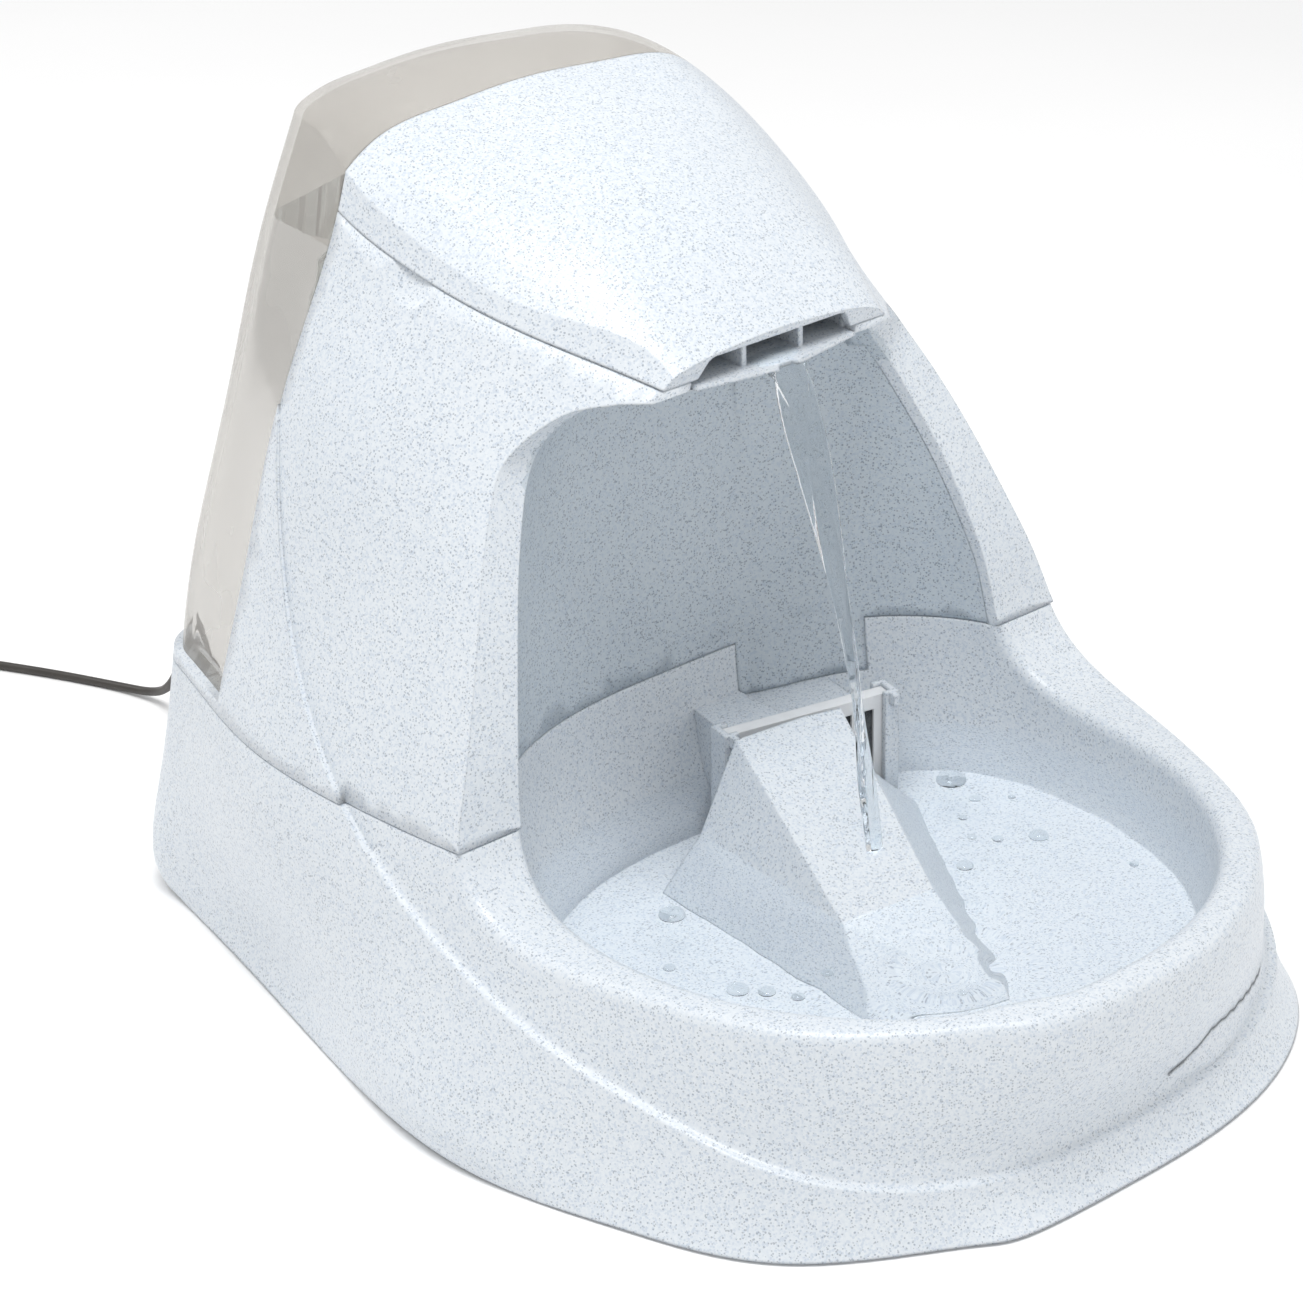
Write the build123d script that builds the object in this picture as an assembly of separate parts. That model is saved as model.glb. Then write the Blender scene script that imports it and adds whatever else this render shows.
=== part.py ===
from build123d import *
import math
import os

# Pet water fountain: a bowl in front, an alcove with a falling stream over it, and a lift-off reservoir behind.
# X runs to the right seen from the front, -Y is the front, Z is up, and the floor is z = 0.

# Overall size, mm
WIDTH = 300.0
LENGTH = 388.0
HEIGHT = 290.0

# Heights of the main levels
SEAM_Z = 92.0            # top of the base, where the upper housing sits
RIM_Z = 70.0             # drinking rim
RIM_ROUND = 4.5
BOWL_FLOOR_Z = 22.0      # inside of the bowl
FOOT_HEIGHT = 1.0        # how far the feet stand out below the base plate
DECK_THICK = 4.5         # shelf that carries the reservoir

# Walls and clearances
WALL = 3.0
COVER_WALL = 2.6
TANK_WALL = 2.5
SKIRT_STEP = 4.0         # how far the skirt stands proud at the floor
REVEAL_HEIGHT = 0.6
REVEAL_DEPTH = 1.2
FREE_GAP = 0.4           # around parts that lift off
SEAT_GAP = 0.3           # between curved faces of different bodies
RUNNING_GAP = 0.05       # radial, around turning pins

# Base: plate, feet, screws, pump well
PLATE_THICK = 3.5
PLATE_GAP = 0.3
FOOT_R = 8.0
FOOT_POCKET = 1.5
FEET = [(85, -130), (122, 10), (96, 154)]
SCREWS = [(58, -112), (104, 22), (90, 128)]
SCREW_R = 1.5
SCREW_LENGTH = 12.0
SCREW_HEAD_R = 2.9
SCREW_HEAD = 1.7
BOSS_R = 4.5
WELL_HALF_WIDTH = 70.0
WELL_FRONT = 46.0
WELL_REAR = 160.0
WELL_FLOOR_Z = 8.0
WELL_CORNER = 12.0

# Filter station, turned a little to the right as seen from the bowl
FILTER_X = 30.4
FILTER_Y = -5.5
FILTER_TURN = -12.24
HOLDER_HALF_WIDTH = 34.0
HOLDER_DEPTH = 10.0
HOLDER_TOP_Z = 81.0
HOLDER_POST = 5.5
HOLDER_SILL = 3.5
CARTRIDGE_THICK = 5.2
CARTRIDGE_TOP_Z = 80.0
CARTRIDGE_FRAME = 5.0
CARTRIDGE_GAP = 0.35
CARTRIDGE_RIBS = 5
LEDGE_TOP_Z = 75.0
LEDGE_HALF_WIDTH = 27.0
DUCT_HALF_WIDTH = 20.0
DUCT_HEIGHT = 34.0

# Tab of the alcove liner that drops into the base behind the filter
TAB_LEFT = 31.0
TAB_RIGHT = 77.0
TAB_Z = 73.0

# Spout tray and riser
TRAY_LIP_Z = 219.4       # underside at the mouth
TRAY_FALL = 0.05         # rise per mm towards the back
TRAY_HALF_WIDTH = 34.6
TRAY_BACK = 82.0
TRAY_WALL = 1.8
TRAY_FLOOR = 1.6
TRAY_HEIGHT = 12.0
LIP_REACH = 4.5
FIN_X = 12.0
FIN_THICK = 2.0
FIN_HEIGHT = 7.5
LINER_TOP_Z = 216.8
ARCH_BACK_Y = 14.0       # the arch over the alcove is solid in front of this
ARCH_SOLID_Z = 196.0     # and above this
RISER_Y = 65.0
RISER_BORE = 6.7
RISER_WALL = 1.3
MOUTH_HALF_BOTTOM = 36.0
MOUTH_HALF_TOP = 28.4
MOUTH_TOP_Z = 229.4
MOUTH_WALL = 4.0

# Reservoir neck, cap and valve
NECK_Y = 133.0
NECK_R = 19.0
NECK_WALL = 2.5
NECK_BOTTOM_Z = 57.8
CAP_WALL = 2.5
CAP_BOTTOM_Z = 52.0
CAP_TOP_Z = 90.0
CAP_RIBS = 24
CAP_RIB_R = 0.9
CAP_HOLE_GAP = 3.0
VALVE_HOLE_R = 8.0
VALVE_HEAD_R = 10.5
VALVE_HEAD = 2.5
VALVE_SEAL = 1.2
VALVE_LIFT = 3.0
STEM_R = 2.5
STEM_BOTTOM_Z = 51.0
SPRING_LENGTH = 12.0
SPRING_R = 5.0
SPRING_WIRE = 0.8
BRIDGE_HALF_WIDTH = 4.0
BRIDGE_THICK = 2.5
LEG_THICK = 2.5

# Pump
PUMP_X = -11.0
PUMP_Y = 72.0
PUMP_WIDTH = 44.0
PUMP_DEPTH = 44.0
PUMP_HEIGHT = 38.0
CUP_HEIGHT = 4.0
CUP_R = 6.0
CHAMBER_R = 10.5
CHAMBER_DEPTH = 20.0
ROTOR_R = 6.5
ROTOR_LENGTH = 18.0
SHAFT_R = 1.2
NOZZLE_R = 6.4
NOZZLE_BORE = 4.2
NOZZLE_HEIGHT = 16.0
GUARD_DEPTH = 13.0
GUARD_WALL = 2.0
DIAL_R = 8.0
DIAL_THICK = 2.5

# Cord
CORD_R = 1.7
CORD_X = -44.0
CORD_Z = 87.0
GROMMET_R = 4.0
GROMMET_INNER_Y = 172.0
FLANGE_R = 5.5
FLANGE_THICK = 2.0
RELIEF_LENGTH = 24.0
COIL_X = -142.4
COIL_Y = 405.4
COIL_RADIUS = 19.0
COIL_ACROSS = 4
COIL_HIGH = 3
TIE_THICK = 1.0
TIE_WIDTH = 6.0
PLUG_HALF_HEIGHT = 7.0
PLUG_HALF_WIDTH = 11.0
PLUG_LENGTH = 26.0
PLUG_RELIEF = 20.0

# The sections below are drawn for a 300 x 388 x 290 mm fountain and stretch with it.
SX = WIDTH / 300.0
SY = LENGTH / 388.0
SZ = HEIGHT / 290.0

# z, nose y, front centre y, half width, roundness, waist x y, side x y, rear corner x y, rear centre y
SECTIONS = [
    (0, -190, -61, 140, 2.4, 146, 10, 132.5, 80, 113, 172, 190),
    (46, -189, -61, 128, 2.2, 142, 20, 133.5, 80, 116, 166, 186),
    (92, -180, -60, 118, 2.1, 136, 35, 133.5, 80, 112, 159, 180),
    (130, -145, -48, 106, 2.1, 124, 42, 122.6, 80, 108, 154, 175),
    (165, -108, -36, 91, 2.1, 113, 46, 114.2, 80, 99, 150, 170),
    (200, -74, -24, 65, 2.2, 100, 46, 103.7, 80, 90, 146, 165),
    (232, -50, -22, 36, 2.2, 80, 42, 88, 80, 82, 143, 162),
    (265, -42, -20, 28, 2.2, 66, 42, 76, 80, 71, 139, 158),
    (300, -40, -20, 20, 2.2, 52, 42, 64, 80, 60, 136, 152),
]

# The roof: y, height on the centre line, half width and height of the crease beside it
ROOF = [
    (-40, 228, 28, 224),
    (0, 252, 44, 244),
    (45, 273, 55, 263),
    (95, 286, 63, 279),
    (118, 289, 64, 281),
    (145, 284, 60, 277),
    (205, 262, 54, 256),
]

# The hollow of bowl and alcove: z, half width, front y, back y
HOLLOW = [
    (22, 104, -174, 12),
    (54, 109, -177, 22),
    (92, 111, -179, 30),
    (132, 106.7, -179, 32),
    (155, 102.8, -179, 33),
    (174, 99.2, -179, 33),
    (190, 95, -179, 33),
    (200, 90, -179, 31.5),
    (209, 80, -179, 28),
    (215, 68, -179, 21),
    (217.5, 50, -179, 10),
]
HOLLOW_CENTRE_Y = -64.0
CORNER_START = 0.18      # where the rear corner's bend starts, as a share of the side
OUTLINE_SHARES = [0, 0.13, 0.237, 0.355, 0.695, 0.82, 1]   # how far along the front half each outline point lies

# The front edge of the pillars in side view, from the rim up to the spout: y, z
PILLAR_EDGE = [
    (-22, 92), (-18, 114), (-13.7, 132), (-7, 155), (-0.5, 174), (4.8, 190.5),
    (6.6, 200), (3, 208.5), (-2, 214), (-8.5, 217), (-15, 218.5), (-23.4, 219.4),
]
RIM_BLEND_Y = -80.0      # where the rim starts to rise into the pillars
MOUTH_TOP = (-28.0, 236.0)

# The swoosh that ends the skirt, in side view: y, z
SWOOSH = [(-200, 11.5), (-154, 22.5), (-117, 33), (-85, 42), (-46, 54), (-19, 64), (8, 77.5),
          (30, 93), (54, 114), (73, 136.5), (88, 168), (110, 215)]
SKIRT_FADE = (1.0, 0.85, 0.65, 0.45, 0.3, 0.2, 0.15, 0.1, 0.05)   # share of the step left at each section

# The parting plane in front of the reservoir and the seam below the top cover
TANK_FRONT = ((108.0, 100.0), (93.0, 287.0))
TANK_GAP = 0.5
COVER_SEAM_Z = 229.5     # at y = 0
COVER_SEAM_SLOPE = 0.295
SCOOP_R = 30.0            # finger scoops below that seam, one on each side
SCOOP_PLACE = (102.3, 51.4, 258.1)


def power(value, exponent):
    return math.copysign(abs(value) ** (2 / exponent), value)


def flip(point):
    """The same point or direction on the other side of the body."""
    return Vector(-point.X, point.Y, point.Z)


def section_wire(section, inset):
    """One closed outline of the body, pulled in by inset (pushed out if negative)."""
    z, nose, centre, half, roundness, wx, wy, mx, my, cx, cy, rear = section
    middle = (nose + rear) / 2
    pull_x = SX - inset / wx
    pull_y = SY - inset / ((rear - nose) / 2)

    def place(x, y):
        return Vector(x * pull_x, middle * SY + (y - middle) * pull_y, z * SZ)

    points = []
    for angle in (-90, -66, -42, -18):
        turn = math.radians(angle)
        x = half * power(math.cos(turn), roundness)
        y = centre + (centre - nose) * power(math.sin(turn), roundness)
        points.append(place(x, y))
    corner = place(cx, cy)
    side = place(mx, my)
    points += [place(wx, wy), side, corner + (side - corner) * CORNER_START]
    end = place(cx * 0.86, cy + 0.14 * (rear - cy))
    back = place(0, rear)
    leave = (corner - points[-1]).normalized()
    land = (end - corner).normalized()
    right = [
        Edge.make_spline(points, tangents=[Vector(1, 0, 0), leave], parameters=OUTLINE_SHARES),
        Bezier(points[-1], corner, end),
        Spline([end, back], tangents=[land, (-1, 0, 0)]),
    ]
    left = [
        Spline([back, flip(end)], tangents=[(-1, 0, 0), flip(land) * -1]),
        Bezier(flip(end), flip(corner), flip(points[-1])),
        Edge.make_spline([flip(point) for point in reversed(points)], tangents=[flip(leave) * -1, Vector(1, 0, 0)],
                         parameters=[1 - share for share in reversed(OUTLINE_SHARES)]),
    ]
    return Wire(right + left)


def column(inset=0.0, lift=0.0):
    """The body's side wall from the floor up, as a solid."""
    body = loft([Face(section_wire(section, inset)) for section in SECTIONS])
    return Pos(0, 0, lift) * body


def roof(drop=0.0):
    """Everything below the domed top."""
    floor_z = -20.0
    faces = []
    for y, centre_z, crease_x, crease_z in ROOF:
        fall = centre_z - crease_z
        outline = [(0, centre_z), (0.55 * crease_x, centre_z - 0.3 * fall), (crease_x, crease_z),
                   (crease_x + 14, crease_z - 10), (crease_x + 52, crease_z - 54), (crease_x + 150, crease_z - 160)]
        points = [Vector(x * SX, y * SY, z * SZ - drop) for x, z in outline]
        low = Vector(points[-1].X, y * SY, floor_z)
        edges = [
            Spline(points, tangents=[(1, 0, 0), (1, 0, -0.8)]),
            Line(points[-1], low),
            Line(low, flip(low)),
            Line(flip(low), flip(points[-1])),
            Spline([flip(point) for point in reversed(points)], tangents=[(1, 0, 0.8), (1, 0, 0)]),
        ]
        faces.append(Face(Wire(edges)))
    return loft(faces)


def hollow(grow=0.0, floor_z=BOWL_FLOOR_Z):
    """The bowl and alcove as one solid, grown outwards by a wall."""
    faces = []
    levels = [(floor_z, ) + HOLLOW[0][1:]] + HOLLOW[1:-1]
    top = HOLLOW[-1]
    levels.append((top[0] + grow, top[1], top[2], top[3]))
    for z, half, front, back in levels:
        height = z if z == floor_z else z * SZ
        points = []
        for step in range(13):
            turn = math.radians(-90 + 15 * step)
            ahead = turn < 0
            roundness = 2.1 if ahead else 2.65
            reach = (HOLLOW_CENTRE_Y - front if ahead else back - HOLLOW_CENTRE_Y) * SY + grow
            x = (half * SX + grow) * power(math.cos(turn), roundness)
            y = HOLLOW_CENTRE_Y * SY + reach * power(math.sin(turn), roundness)
            points.append(Vector(0 if step in (0, 12) else x, y, height))
        right = Spline(points, tangents=[(1, 0, 0), (-1, 0, 0)])
        left = Spline([flip(point) for point in reversed(points)], tangents=[(-1, 0, 0), (1, 0, 0)])
        faces.append(Face(Wire([right, left])))
    return loft(faces)


def side_prism(points, half_width=WIDTH):
    """A solid with the given outline in side view (y, z), running right across the body."""
    outline = Polyline(*[Vector(0, y, z) for y, z in points], close=True)
    return extrude(Face(Wire(outline.edges())), amount=half_width, dir=(1, 0, 0), both=True)


def block(x0, x1, y0, y1, z0, z1):
    return Pos((x0 + x1) / 2, (y0 + y1) / 2, (z0 + z1) / 2) * Box(x1 - x0, y1 - y0, z1 - z0)


def slab(z0, z1):
    return block(-WIDTH, WIDTH, -LENGTH, LENGTH, z0, z1)


def post(x, y, z0, z1, radius):
    return Pos(x, y, (z0 + z1) / 2) * Cylinder(radius, z1 - z0)


def ring(x, y, z0, z1, outer, inner):
    return post(x, y, z0, z1, outer) - post(x, y, z0 - 1, z1 + 1, inner)


def front_cut(offset=0.0):
    """What is open in front: all above the rim, up to the front edge of the pillars and the spout."""
    edge = [Vector(0, y * SY + offset, z * SZ - offset) for y, z in PILLAR_EDGE]
    start = Vector(0, RIM_BLEND_Y * SY + offset, RIM_Z - offset)
    top = Vector(0, MOUTH_TOP[0] * SY + offset, MOUTH_TOP[1] * SZ)
    sky = HEIGHT * 1.2
    low_front = Vector(0, -LENGTH, RIM_Z - offset)
    path = [
        Line(low_front, start),
        Spline([start] + edge, tangents=[(0, 1, 0), (0, -1, 0.1)]),
        Line(edge[-1], top),
        Line(top, Vector(0, top.Y, sky)),
        Line(Vector(0, top.Y, sky), Vector(0, -LENGTH, sky)),
        Line(Vector(0, -LENGTH, sky), low_front),
    ]
    return extrude(Face(Wire(path)), amount=WIDTH, dir=(1, 0, 0), both=True)


def tank_front_y(z):
    (y0, z0), (y1, z1) = TANK_FRONT
    return (y0 + (y1 - y0) * (z / SZ - z0) / (z1 - z0)) * SY


def behind_tank_front(offset=0.0):
    """Everything behind the parting plane moved back by offset."""
    low, high = -0.2 * HEIGHT, 1.3 * HEIGHT
    return side_prism([(tank_front_y(low) + offset, low), (tank_front_y(high) + offset, high),
                       (LENGTH, high), (LENGTH, low)])


def cover_seam_z(y):
    return COVER_SEAM_Z * SZ + COVER_SEAM_SLOPE * y


def above_cover_seam(offset=0.0):
    """Everything above the cover seam moved up by offset."""
    high = 1.6 * HEIGHT
    return side_prism([(-LENGTH / 2, cover_seam_z(-LENGTH / 2) + offset), (LENGTH / 2, cover_seam_z(LENGTH / 2) + offset),
                       (LENGTH / 2, high), (-LENGTH / 2, high)])


def skirt():
    """The proud lower band that ends at the swoosh."""
    faces = [Face(section_wire(part, -SKIRT_STEP * share)) for part, share in zip(SECTIONS, SKIRT_FADE)]
    curve = Spline([Vector(0, y * SY, z * SZ) for y, z in SWOOSH])
    first, last = curve @ 0, curve @ 1
    below = [curve, Line(last, Vector(0, LENGTH, last.Z)), Line(Vector(0, LENGTH, last.Z), Vector(0, LENGTH, -1)),
             Line(Vector(0, LENGTH, -1), Vector(0, first.Y, -1)), Line(Vector(0, first.Y, -1), first)]
    under = extrude(Face(Wire(below)), amount=WIDTH, dir=(1, 0, 0), both=True)
    return loft(faces) & under


def save(node, shape):
    export_step(shape, "parts/" + node + ".step")


# Base ----------------------------------------------------------------------------------------------

DECK_TOP_Z = SEAM_Z + DECK_THICK
PLATE_TOP_Z = FOOT_HEIGHT + PLATE_THICK
FILTER_PLACE = Pos(FILTER_X, FILTER_Y, 0) * Rot(0, 0, FILTER_TURN)
CAP_R = NECK_R + SEAT_GAP + CAP_WALL
PUMP_BOTTOM_Z = WELL_FLOOR_Z + CUP_HEIGHT
PUMP_TOP_Z = PUMP_BOTTOM_Z + PUMP_HEIGHT
CORD_EXIT = Vector(CORD_X, SECTIONS[2][-1] * SY + 6, CORD_Z)


def pump_well(grow=0.0):
    outline = RectangleRounded(2 * (WELL_HALF_WIDTH + grow), WELL_REAR - WELL_FRONT + 2 * grow, WELL_CORNER + grow)
    prism = extrude(outline, amount=SEAM_Z - WELL_FLOOR_Z + grow + 1)
    return Pos(0, (WELL_FRONT + WELL_REAR) / 2, WELL_FLOOR_Z - grow) * prism


def both_sides(places):
    return [(side * x, y) for x, y in places for side in (1, -1)]


def filter_block(x, y0, y1, z0, z1):
    """A block in the filter station's own directions, centred on its middle line."""
    return FILTER_PLACE * block(-x, x, y0, y1, z0, z1)


def round_rim(shell):
    """Rounds both edges of the drinking rim, and of its rise into the pillars."""
    edges = []
    for edge in shell.edges():
        heights = [(edge @ share).Z for share in (0, 0.3, 0.5, 0.7, 1)]
        if min(heights) > RIM_Z - 0.05 and min(heights) < SEAM_Z - 0.05:
            edges.append(edge)
    return fillet(edges, RIM_ROUND)


def base_housing():
    shell = (column() + skirt()) & slab(FOOT_HEIGHT, SEAM_Z)
    shell = round_rim(shell - hollow() - front_cut())
    inside = column(WALL) & slab(0, SEAM_Z - WALL)
    inside = inside - front_cut(WALL) - hollow(WALL, BOWL_FLOOR_Z - WALL) - pump_well(WALL)
    inside -= block(CORD_X - 2 * GROMMET_R, CORD_X + 2 * GROMMET_R, WELL_REAR, LENGTH,
                    CORD_Z - 2 * GROMMET_R, SEAM_Z)
    inside -= block(TAB_LEFT - WALL, TAB_RIGHT + WALL, 0, WELL_FRONT, TAB_Z - WALL, SEAM_Z)
    for x, y in both_sides(SCREWS):
        inside -= post(x, y, PLATE_TOP_Z, SEAM_Z, BOSS_R)
    shell -= inside
    shell += filter_block(LEDGE_HALF_WIDTH, HOLDER_DEPTH / 2, WELL_FRONT, BOWL_FLOOR_Z - WALL / 2, LEDGE_TOP_Z)
    shell -= pump_well()
    duct_z = BOWL_FLOOR_Z + HOLDER_SILL
    shell -= filter_block(DUCT_HALF_WIDTH, 0, 1.5 * WELL_FRONT, duct_z, duct_z + DUCT_HEIGHT)
    notch = block(TAB_LEFT - FREE_GAP, TAB_RIGHT + FREE_GAP, 0, WELL_FRONT, TAB_Z - FREE_GAP, SEAM_Z + 1)
    shell -= notch & hollow(WALL + FREE_GAP, BOWL_FLOOR_Z)
    slot = block(CORD_X - GROMMET_R - RUNNING_GAP, CORD_X + GROMMET_R + RUNNING_GAP,
                 WELL_REAR - WALL, LENGTH, CORD_Z, SEAM_Z + 1)
    slot += Pos(CORD_X, LENGTH / 2, CORD_Z) * Rot(90, 0, 0) * Cylinder(GROMMET_R + RUNNING_GAP, LENGTH - 2 * (WELL_REAR - WALL))
    shell -= slot
    shell -= floor_prism(WALL, PLATE_TOP_Z)
    for x, y in both_sides(SCREWS):
        shell -= post(x, y, PLATE_TOP_Z, PLATE_TOP_Z + SCREW_LENGTH, SCREW_R + RUNNING_GAP)
    shell += post(0, NECK_Y, WELL_FLOOR_Z - WALL / 2, STEM_BOTTOM_Z, STEM_R + 0.5)
    shell += Pos(0, NECK_Y, WELL_FLOOR_Z + 6) * Cone(2.4 * STEM_R, STEM_R + 0.5, 12)
    return shell


def floor_prism(inset, top):
    """The footprint pulled in by inset, from the floor up to top."""
    return extrude(Face(section_wire(SECTIONS[0], inset)), amount=top, dir=(0, 0, 1))


def base_plate():
    plate = floor_prism(WALL + PLATE_GAP, PLATE_TOP_Z) & slab(FOOT_HEIGHT, PLATE_TOP_Z)
    for x, y in both_sides(FEET):
        plate -= post(x, y, 0, FOOT_HEIGHT + FOOT_POCKET, FOOT_R)
    for x, y in both_sides(SCREWS):
        plate -= post(x, y, 0, PLATE_TOP_Z + 1, SCREW_R + RUNNING_GAP)
        plate -= post(x, y, 0, FOOT_HEIGHT + SCREW_HEAD + 0.2, SCREW_HEAD_R + 0.2)
    return plate


def rubber_feet():
    return Compound([post(x, y, 0, FOOT_HEIGHT + FOOT_POCKET, FOOT_R) for x, y in both_sides(FEET)])


def base_screws():
    head_z = FOOT_HEIGHT + 0.2
    screws = []
    for x, y in both_sides(SCREWS):
        screw = post(x, y, head_z, head_z + SCREW_HEAD, SCREW_HEAD_R)
        screw += post(x, y, head_z + SCREW_HEAD / 2, head_z + SCREW_HEAD + SCREW_LENGTH, SCREW_R)
        for turn in (0, 90):
            screw -= Pos(x, y, head_z) * Rot(0, 0, turn) * Box(3.4, 0.7, SCREW_HEAD)
        screws.append(screw)
    return Compound(screws)


# Filter station and ramp ---------------------------------------------------------------------------

CARTRIDGE_HALF = HOLDER_HALF_WIDTH - HOLDER_POST / 2
CARTRIDGE_BOTTOM_Z = BOWL_FLOOR_Z + HOLDER_SILL


def filter_holder():
    half = HOLDER_DEPTH / 2
    frame = filter_block(HOLDER_HALF_WIDTH, -half, half, BOWL_FLOOR_Z, HOLDER_TOP_Z)
    frame -= filter_block(HOLDER_HALF_WIDTH - HOLDER_POST, -HOLDER_DEPTH, HOLDER_DEPTH,
                          CARTRIDGE_BOTTOM_Z, HOLDER_TOP_Z + 1)
    slot = CARTRIDGE_THICK / 2 + CARTRIDGE_GAP
    frame -= filter_block(CARTRIDGE_HALF + CARTRIDGE_GAP, -slot, slot, CARTRIDGE_BOTTOM_Z, HOLDER_TOP_Z + 1)
    for side in (1, -1):
        x = side * (HOLDER_HALF_WIDTH - HOLDER_POST / 2)
        frame += FILTER_PLACE * block(x - 1.2, x + 1.2, -half - 3, -half, HOLDER_TOP_Z - 4, HOLDER_TOP_Z)
    return frame


def carbon_filter_frame():
    half = CARTRIDGE_THICK / 2
    frame = filter_block(CARTRIDGE_HALF, -half, half, CARTRIDGE_BOTTOM_Z, CARTRIDGE_TOP_Z)
    window = CARTRIDGE_HALF - CARTRIDGE_FRAME
    bottom = CARTRIDGE_BOTTOM_Z + CARTRIDGE_FRAME
    top = CARTRIDGE_TOP_Z - CARTRIDGE_FRAME
    frame -= filter_block(window, -half + 1, half - 1, bottom, top)
    gap = (2 * window) / (CARTRIDGE_RIBS + 1)
    for step in range(CARTRIDGE_RIBS + 1):
        x = -window + gap * (step + 0.5)
        frame -= FILTER_PLACE * block(x - gap / 2 + 0.9, x + gap / 2 - 0.9, -half - 1, half + 1, bottom, top)
    return frame


def carbon_filter_pad():
    half = CARTRIDGE_THICK / 2 - 1 - RUNNING_GAP
    window = CARTRIDGE_HALF - CARTRIDGE_FRAME - RUNNING_GAP
    return filter_block(window, -half, half, CARTRIDGE_BOTTOM_Z + CARTRIDGE_FRAME + RUNNING_GAP,
                        CARTRIDGE_TOP_Z - CARTRIDGE_FRAME - RUNNING_GAP)


RAMP_TOP_Z = 83.0
RAMP_CREASE_Z = 54.0
RAMP_WALL = 0.9          # inner hollow as a share of the outside
# Corners of the ramp, x and y: top edge, crease, toe on the bowl floor, rear feet
RAMP_TOP = [(-5, -9.5), (37.6, -14)]
RAMP_CREASE = [(-28, -85), (9, -88)]
RAMP_TOE = [(-45, -117), (-3, -135)]
RAMP_REAR = [(-38.6, -10), (66, -22)]


def ramp_solid(share=1.0):
    heights = (RAMP_TOP_Z, RAMP_CREASE_Z, BOWL_FLOOR_Z, BOWL_FLOOR_Z)
    rows = (RAMP_TOP, RAMP_CREASE, RAMP_TOE, RAMP_REAR)
    middle = (8.0, -50.0)
    corners = []
    for height, row in zip(heights, rows):
        for x, y in row:
            corners.append(Vector(middle[0] + (x - middle[0]) * share, middle[1] + (y - middle[1]) * share,
                                  BOWL_FLOOR_Z + (height - BOWL_FLOOR_Z) * share))
    tl, tr, cl, cr, ol, orr, rl, rr = corners
    faces = [(tl, tr, cr), (tl, cr, cl), (cl, cr, orr), (cl, orr, ol), (tl, cl, rl), (cl, ol, rl),
             (tr, rr, cr), (cr, rr, orr), (tl, rl, rr), (tl, rr, tr), (ol, orr, rr), (ol, rr, rl)]
    return Solid(Shell([Face(Wire(Polyline(*face, close=True).edges())) for face in faces]))


def receiving_ramp():
    ramp = ramp_solid()
    front_of_filter = FILTER_PLACE * block(-WIDTH, WIDTH, -LENGTH, -HOLDER_DEPTH / 2 - 3 - FREE_GAP, 0, HEIGHT)
    ramp = ramp & front_of_filter
    inner = Pos(0, 0, -0.01) * ramp_solid(RAMP_WALL)
    return ramp - inner


# Upper housing -------------------------------------------------------------------------------------

def tray_z(y):
    return TRAY_LIP_Z * SZ + TRAY_FALL * (y - MOUTH_TOP[0] * SY)


def tray_prism(half, y0, y1, low, high):
    """A channel across the deck that follows the tray's fall, low and high above its underside."""
    return side_prism([(y0, tray_z(y0) + low), (y1, tray_z(y1) + low), (y1, tray_z(y1) + high),
                       (y0, tray_z(y0) + high)], half)


def outer_shape():
    return column() & roof()


def seam_inside():
    return column(REVEAL_DEPTH) - front_cut(REVEAL_DEPTH)


def arch():
    """The solid part over the alcove, where housing and liner are one."""
    return block(-WIDTH, WIDTH, -LENGTH / 2, ARCH_BACK_Y, ARCH_SOLID_Z * SZ, HEIGHT)


def upper_housing():
    above = outer_shape() & slab(SEAM_Z, 1.4 * HEIGHT)
    above += skirt() & slab(SEAM_Z, HEIGHT)
    above = above - front_cut() - (behind_tank_front() & slab(DECK_TOP_Z, 1.5 * HEIGHT)) - above_cover_seam()
    inside = column(WALL) & roof(WALL) & slab(SEAM_Z - 1, 1.4 * HEIGHT)
    inside = inside - above_cover_seam(-WALL) - front_cut(WALL) - behind_tank_front(-WALL)
    liner_half = HOLLOW[-1][1] * SX + WALL
    inside -= block(-liner_half, liner_half, -LENGTH / 2, TRAY_BACK + FREE_GAP + WALL, LINER_TOP_Z * SZ, HEIGHT)
    shell = above - (inside - arch()) - hollow()
    shell -= tray_prism(TRAY_HALF_WIDTH + FREE_GAP, -LENGTH / 2, TRAY_BACK + FREE_GAP, 0, HEIGHT)
    shell -= post(0, RISER_Y, SEAM_Z, HEIGHT, RISER_BORE + RISER_WALL + SEAT_GAP)
    shell -= post(0, NECK_Y, SEAM_Z - 1, DECK_TOP_Z + 1, CAP_R + CAP_HOLE_GAP)
    for side in (1, -1):
        x, y, z = SCOOP_PLACE
        shell -= Pos(side * x * SX, y * SY, z * SZ) * Sphere(SCOOP_R)
    return shell - (slab(SEAM_Z, SEAM_Z + REVEAL_HEIGHT) - seam_inside())


def alcove_liner():
    wall = hollow(WALL, BOWL_FLOOR_Z - WALL) - hollow()
    liner = (wall & slab(SEAM_Z, LINER_TOP_Z * SZ)) - front_cut(WALL) - arch()
    liner -= slab(SEAM_Z, SEAM_Z + REVEAL_HEIGHT) & hollow(REVEAL_DEPTH)
    return liner + (wall & block(TAB_LEFT, TAB_RIGHT, 0, WELL_FRONT, TAB_Z, SEAM_Z + 2 * REVEAL_HEIGHT))


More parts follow.
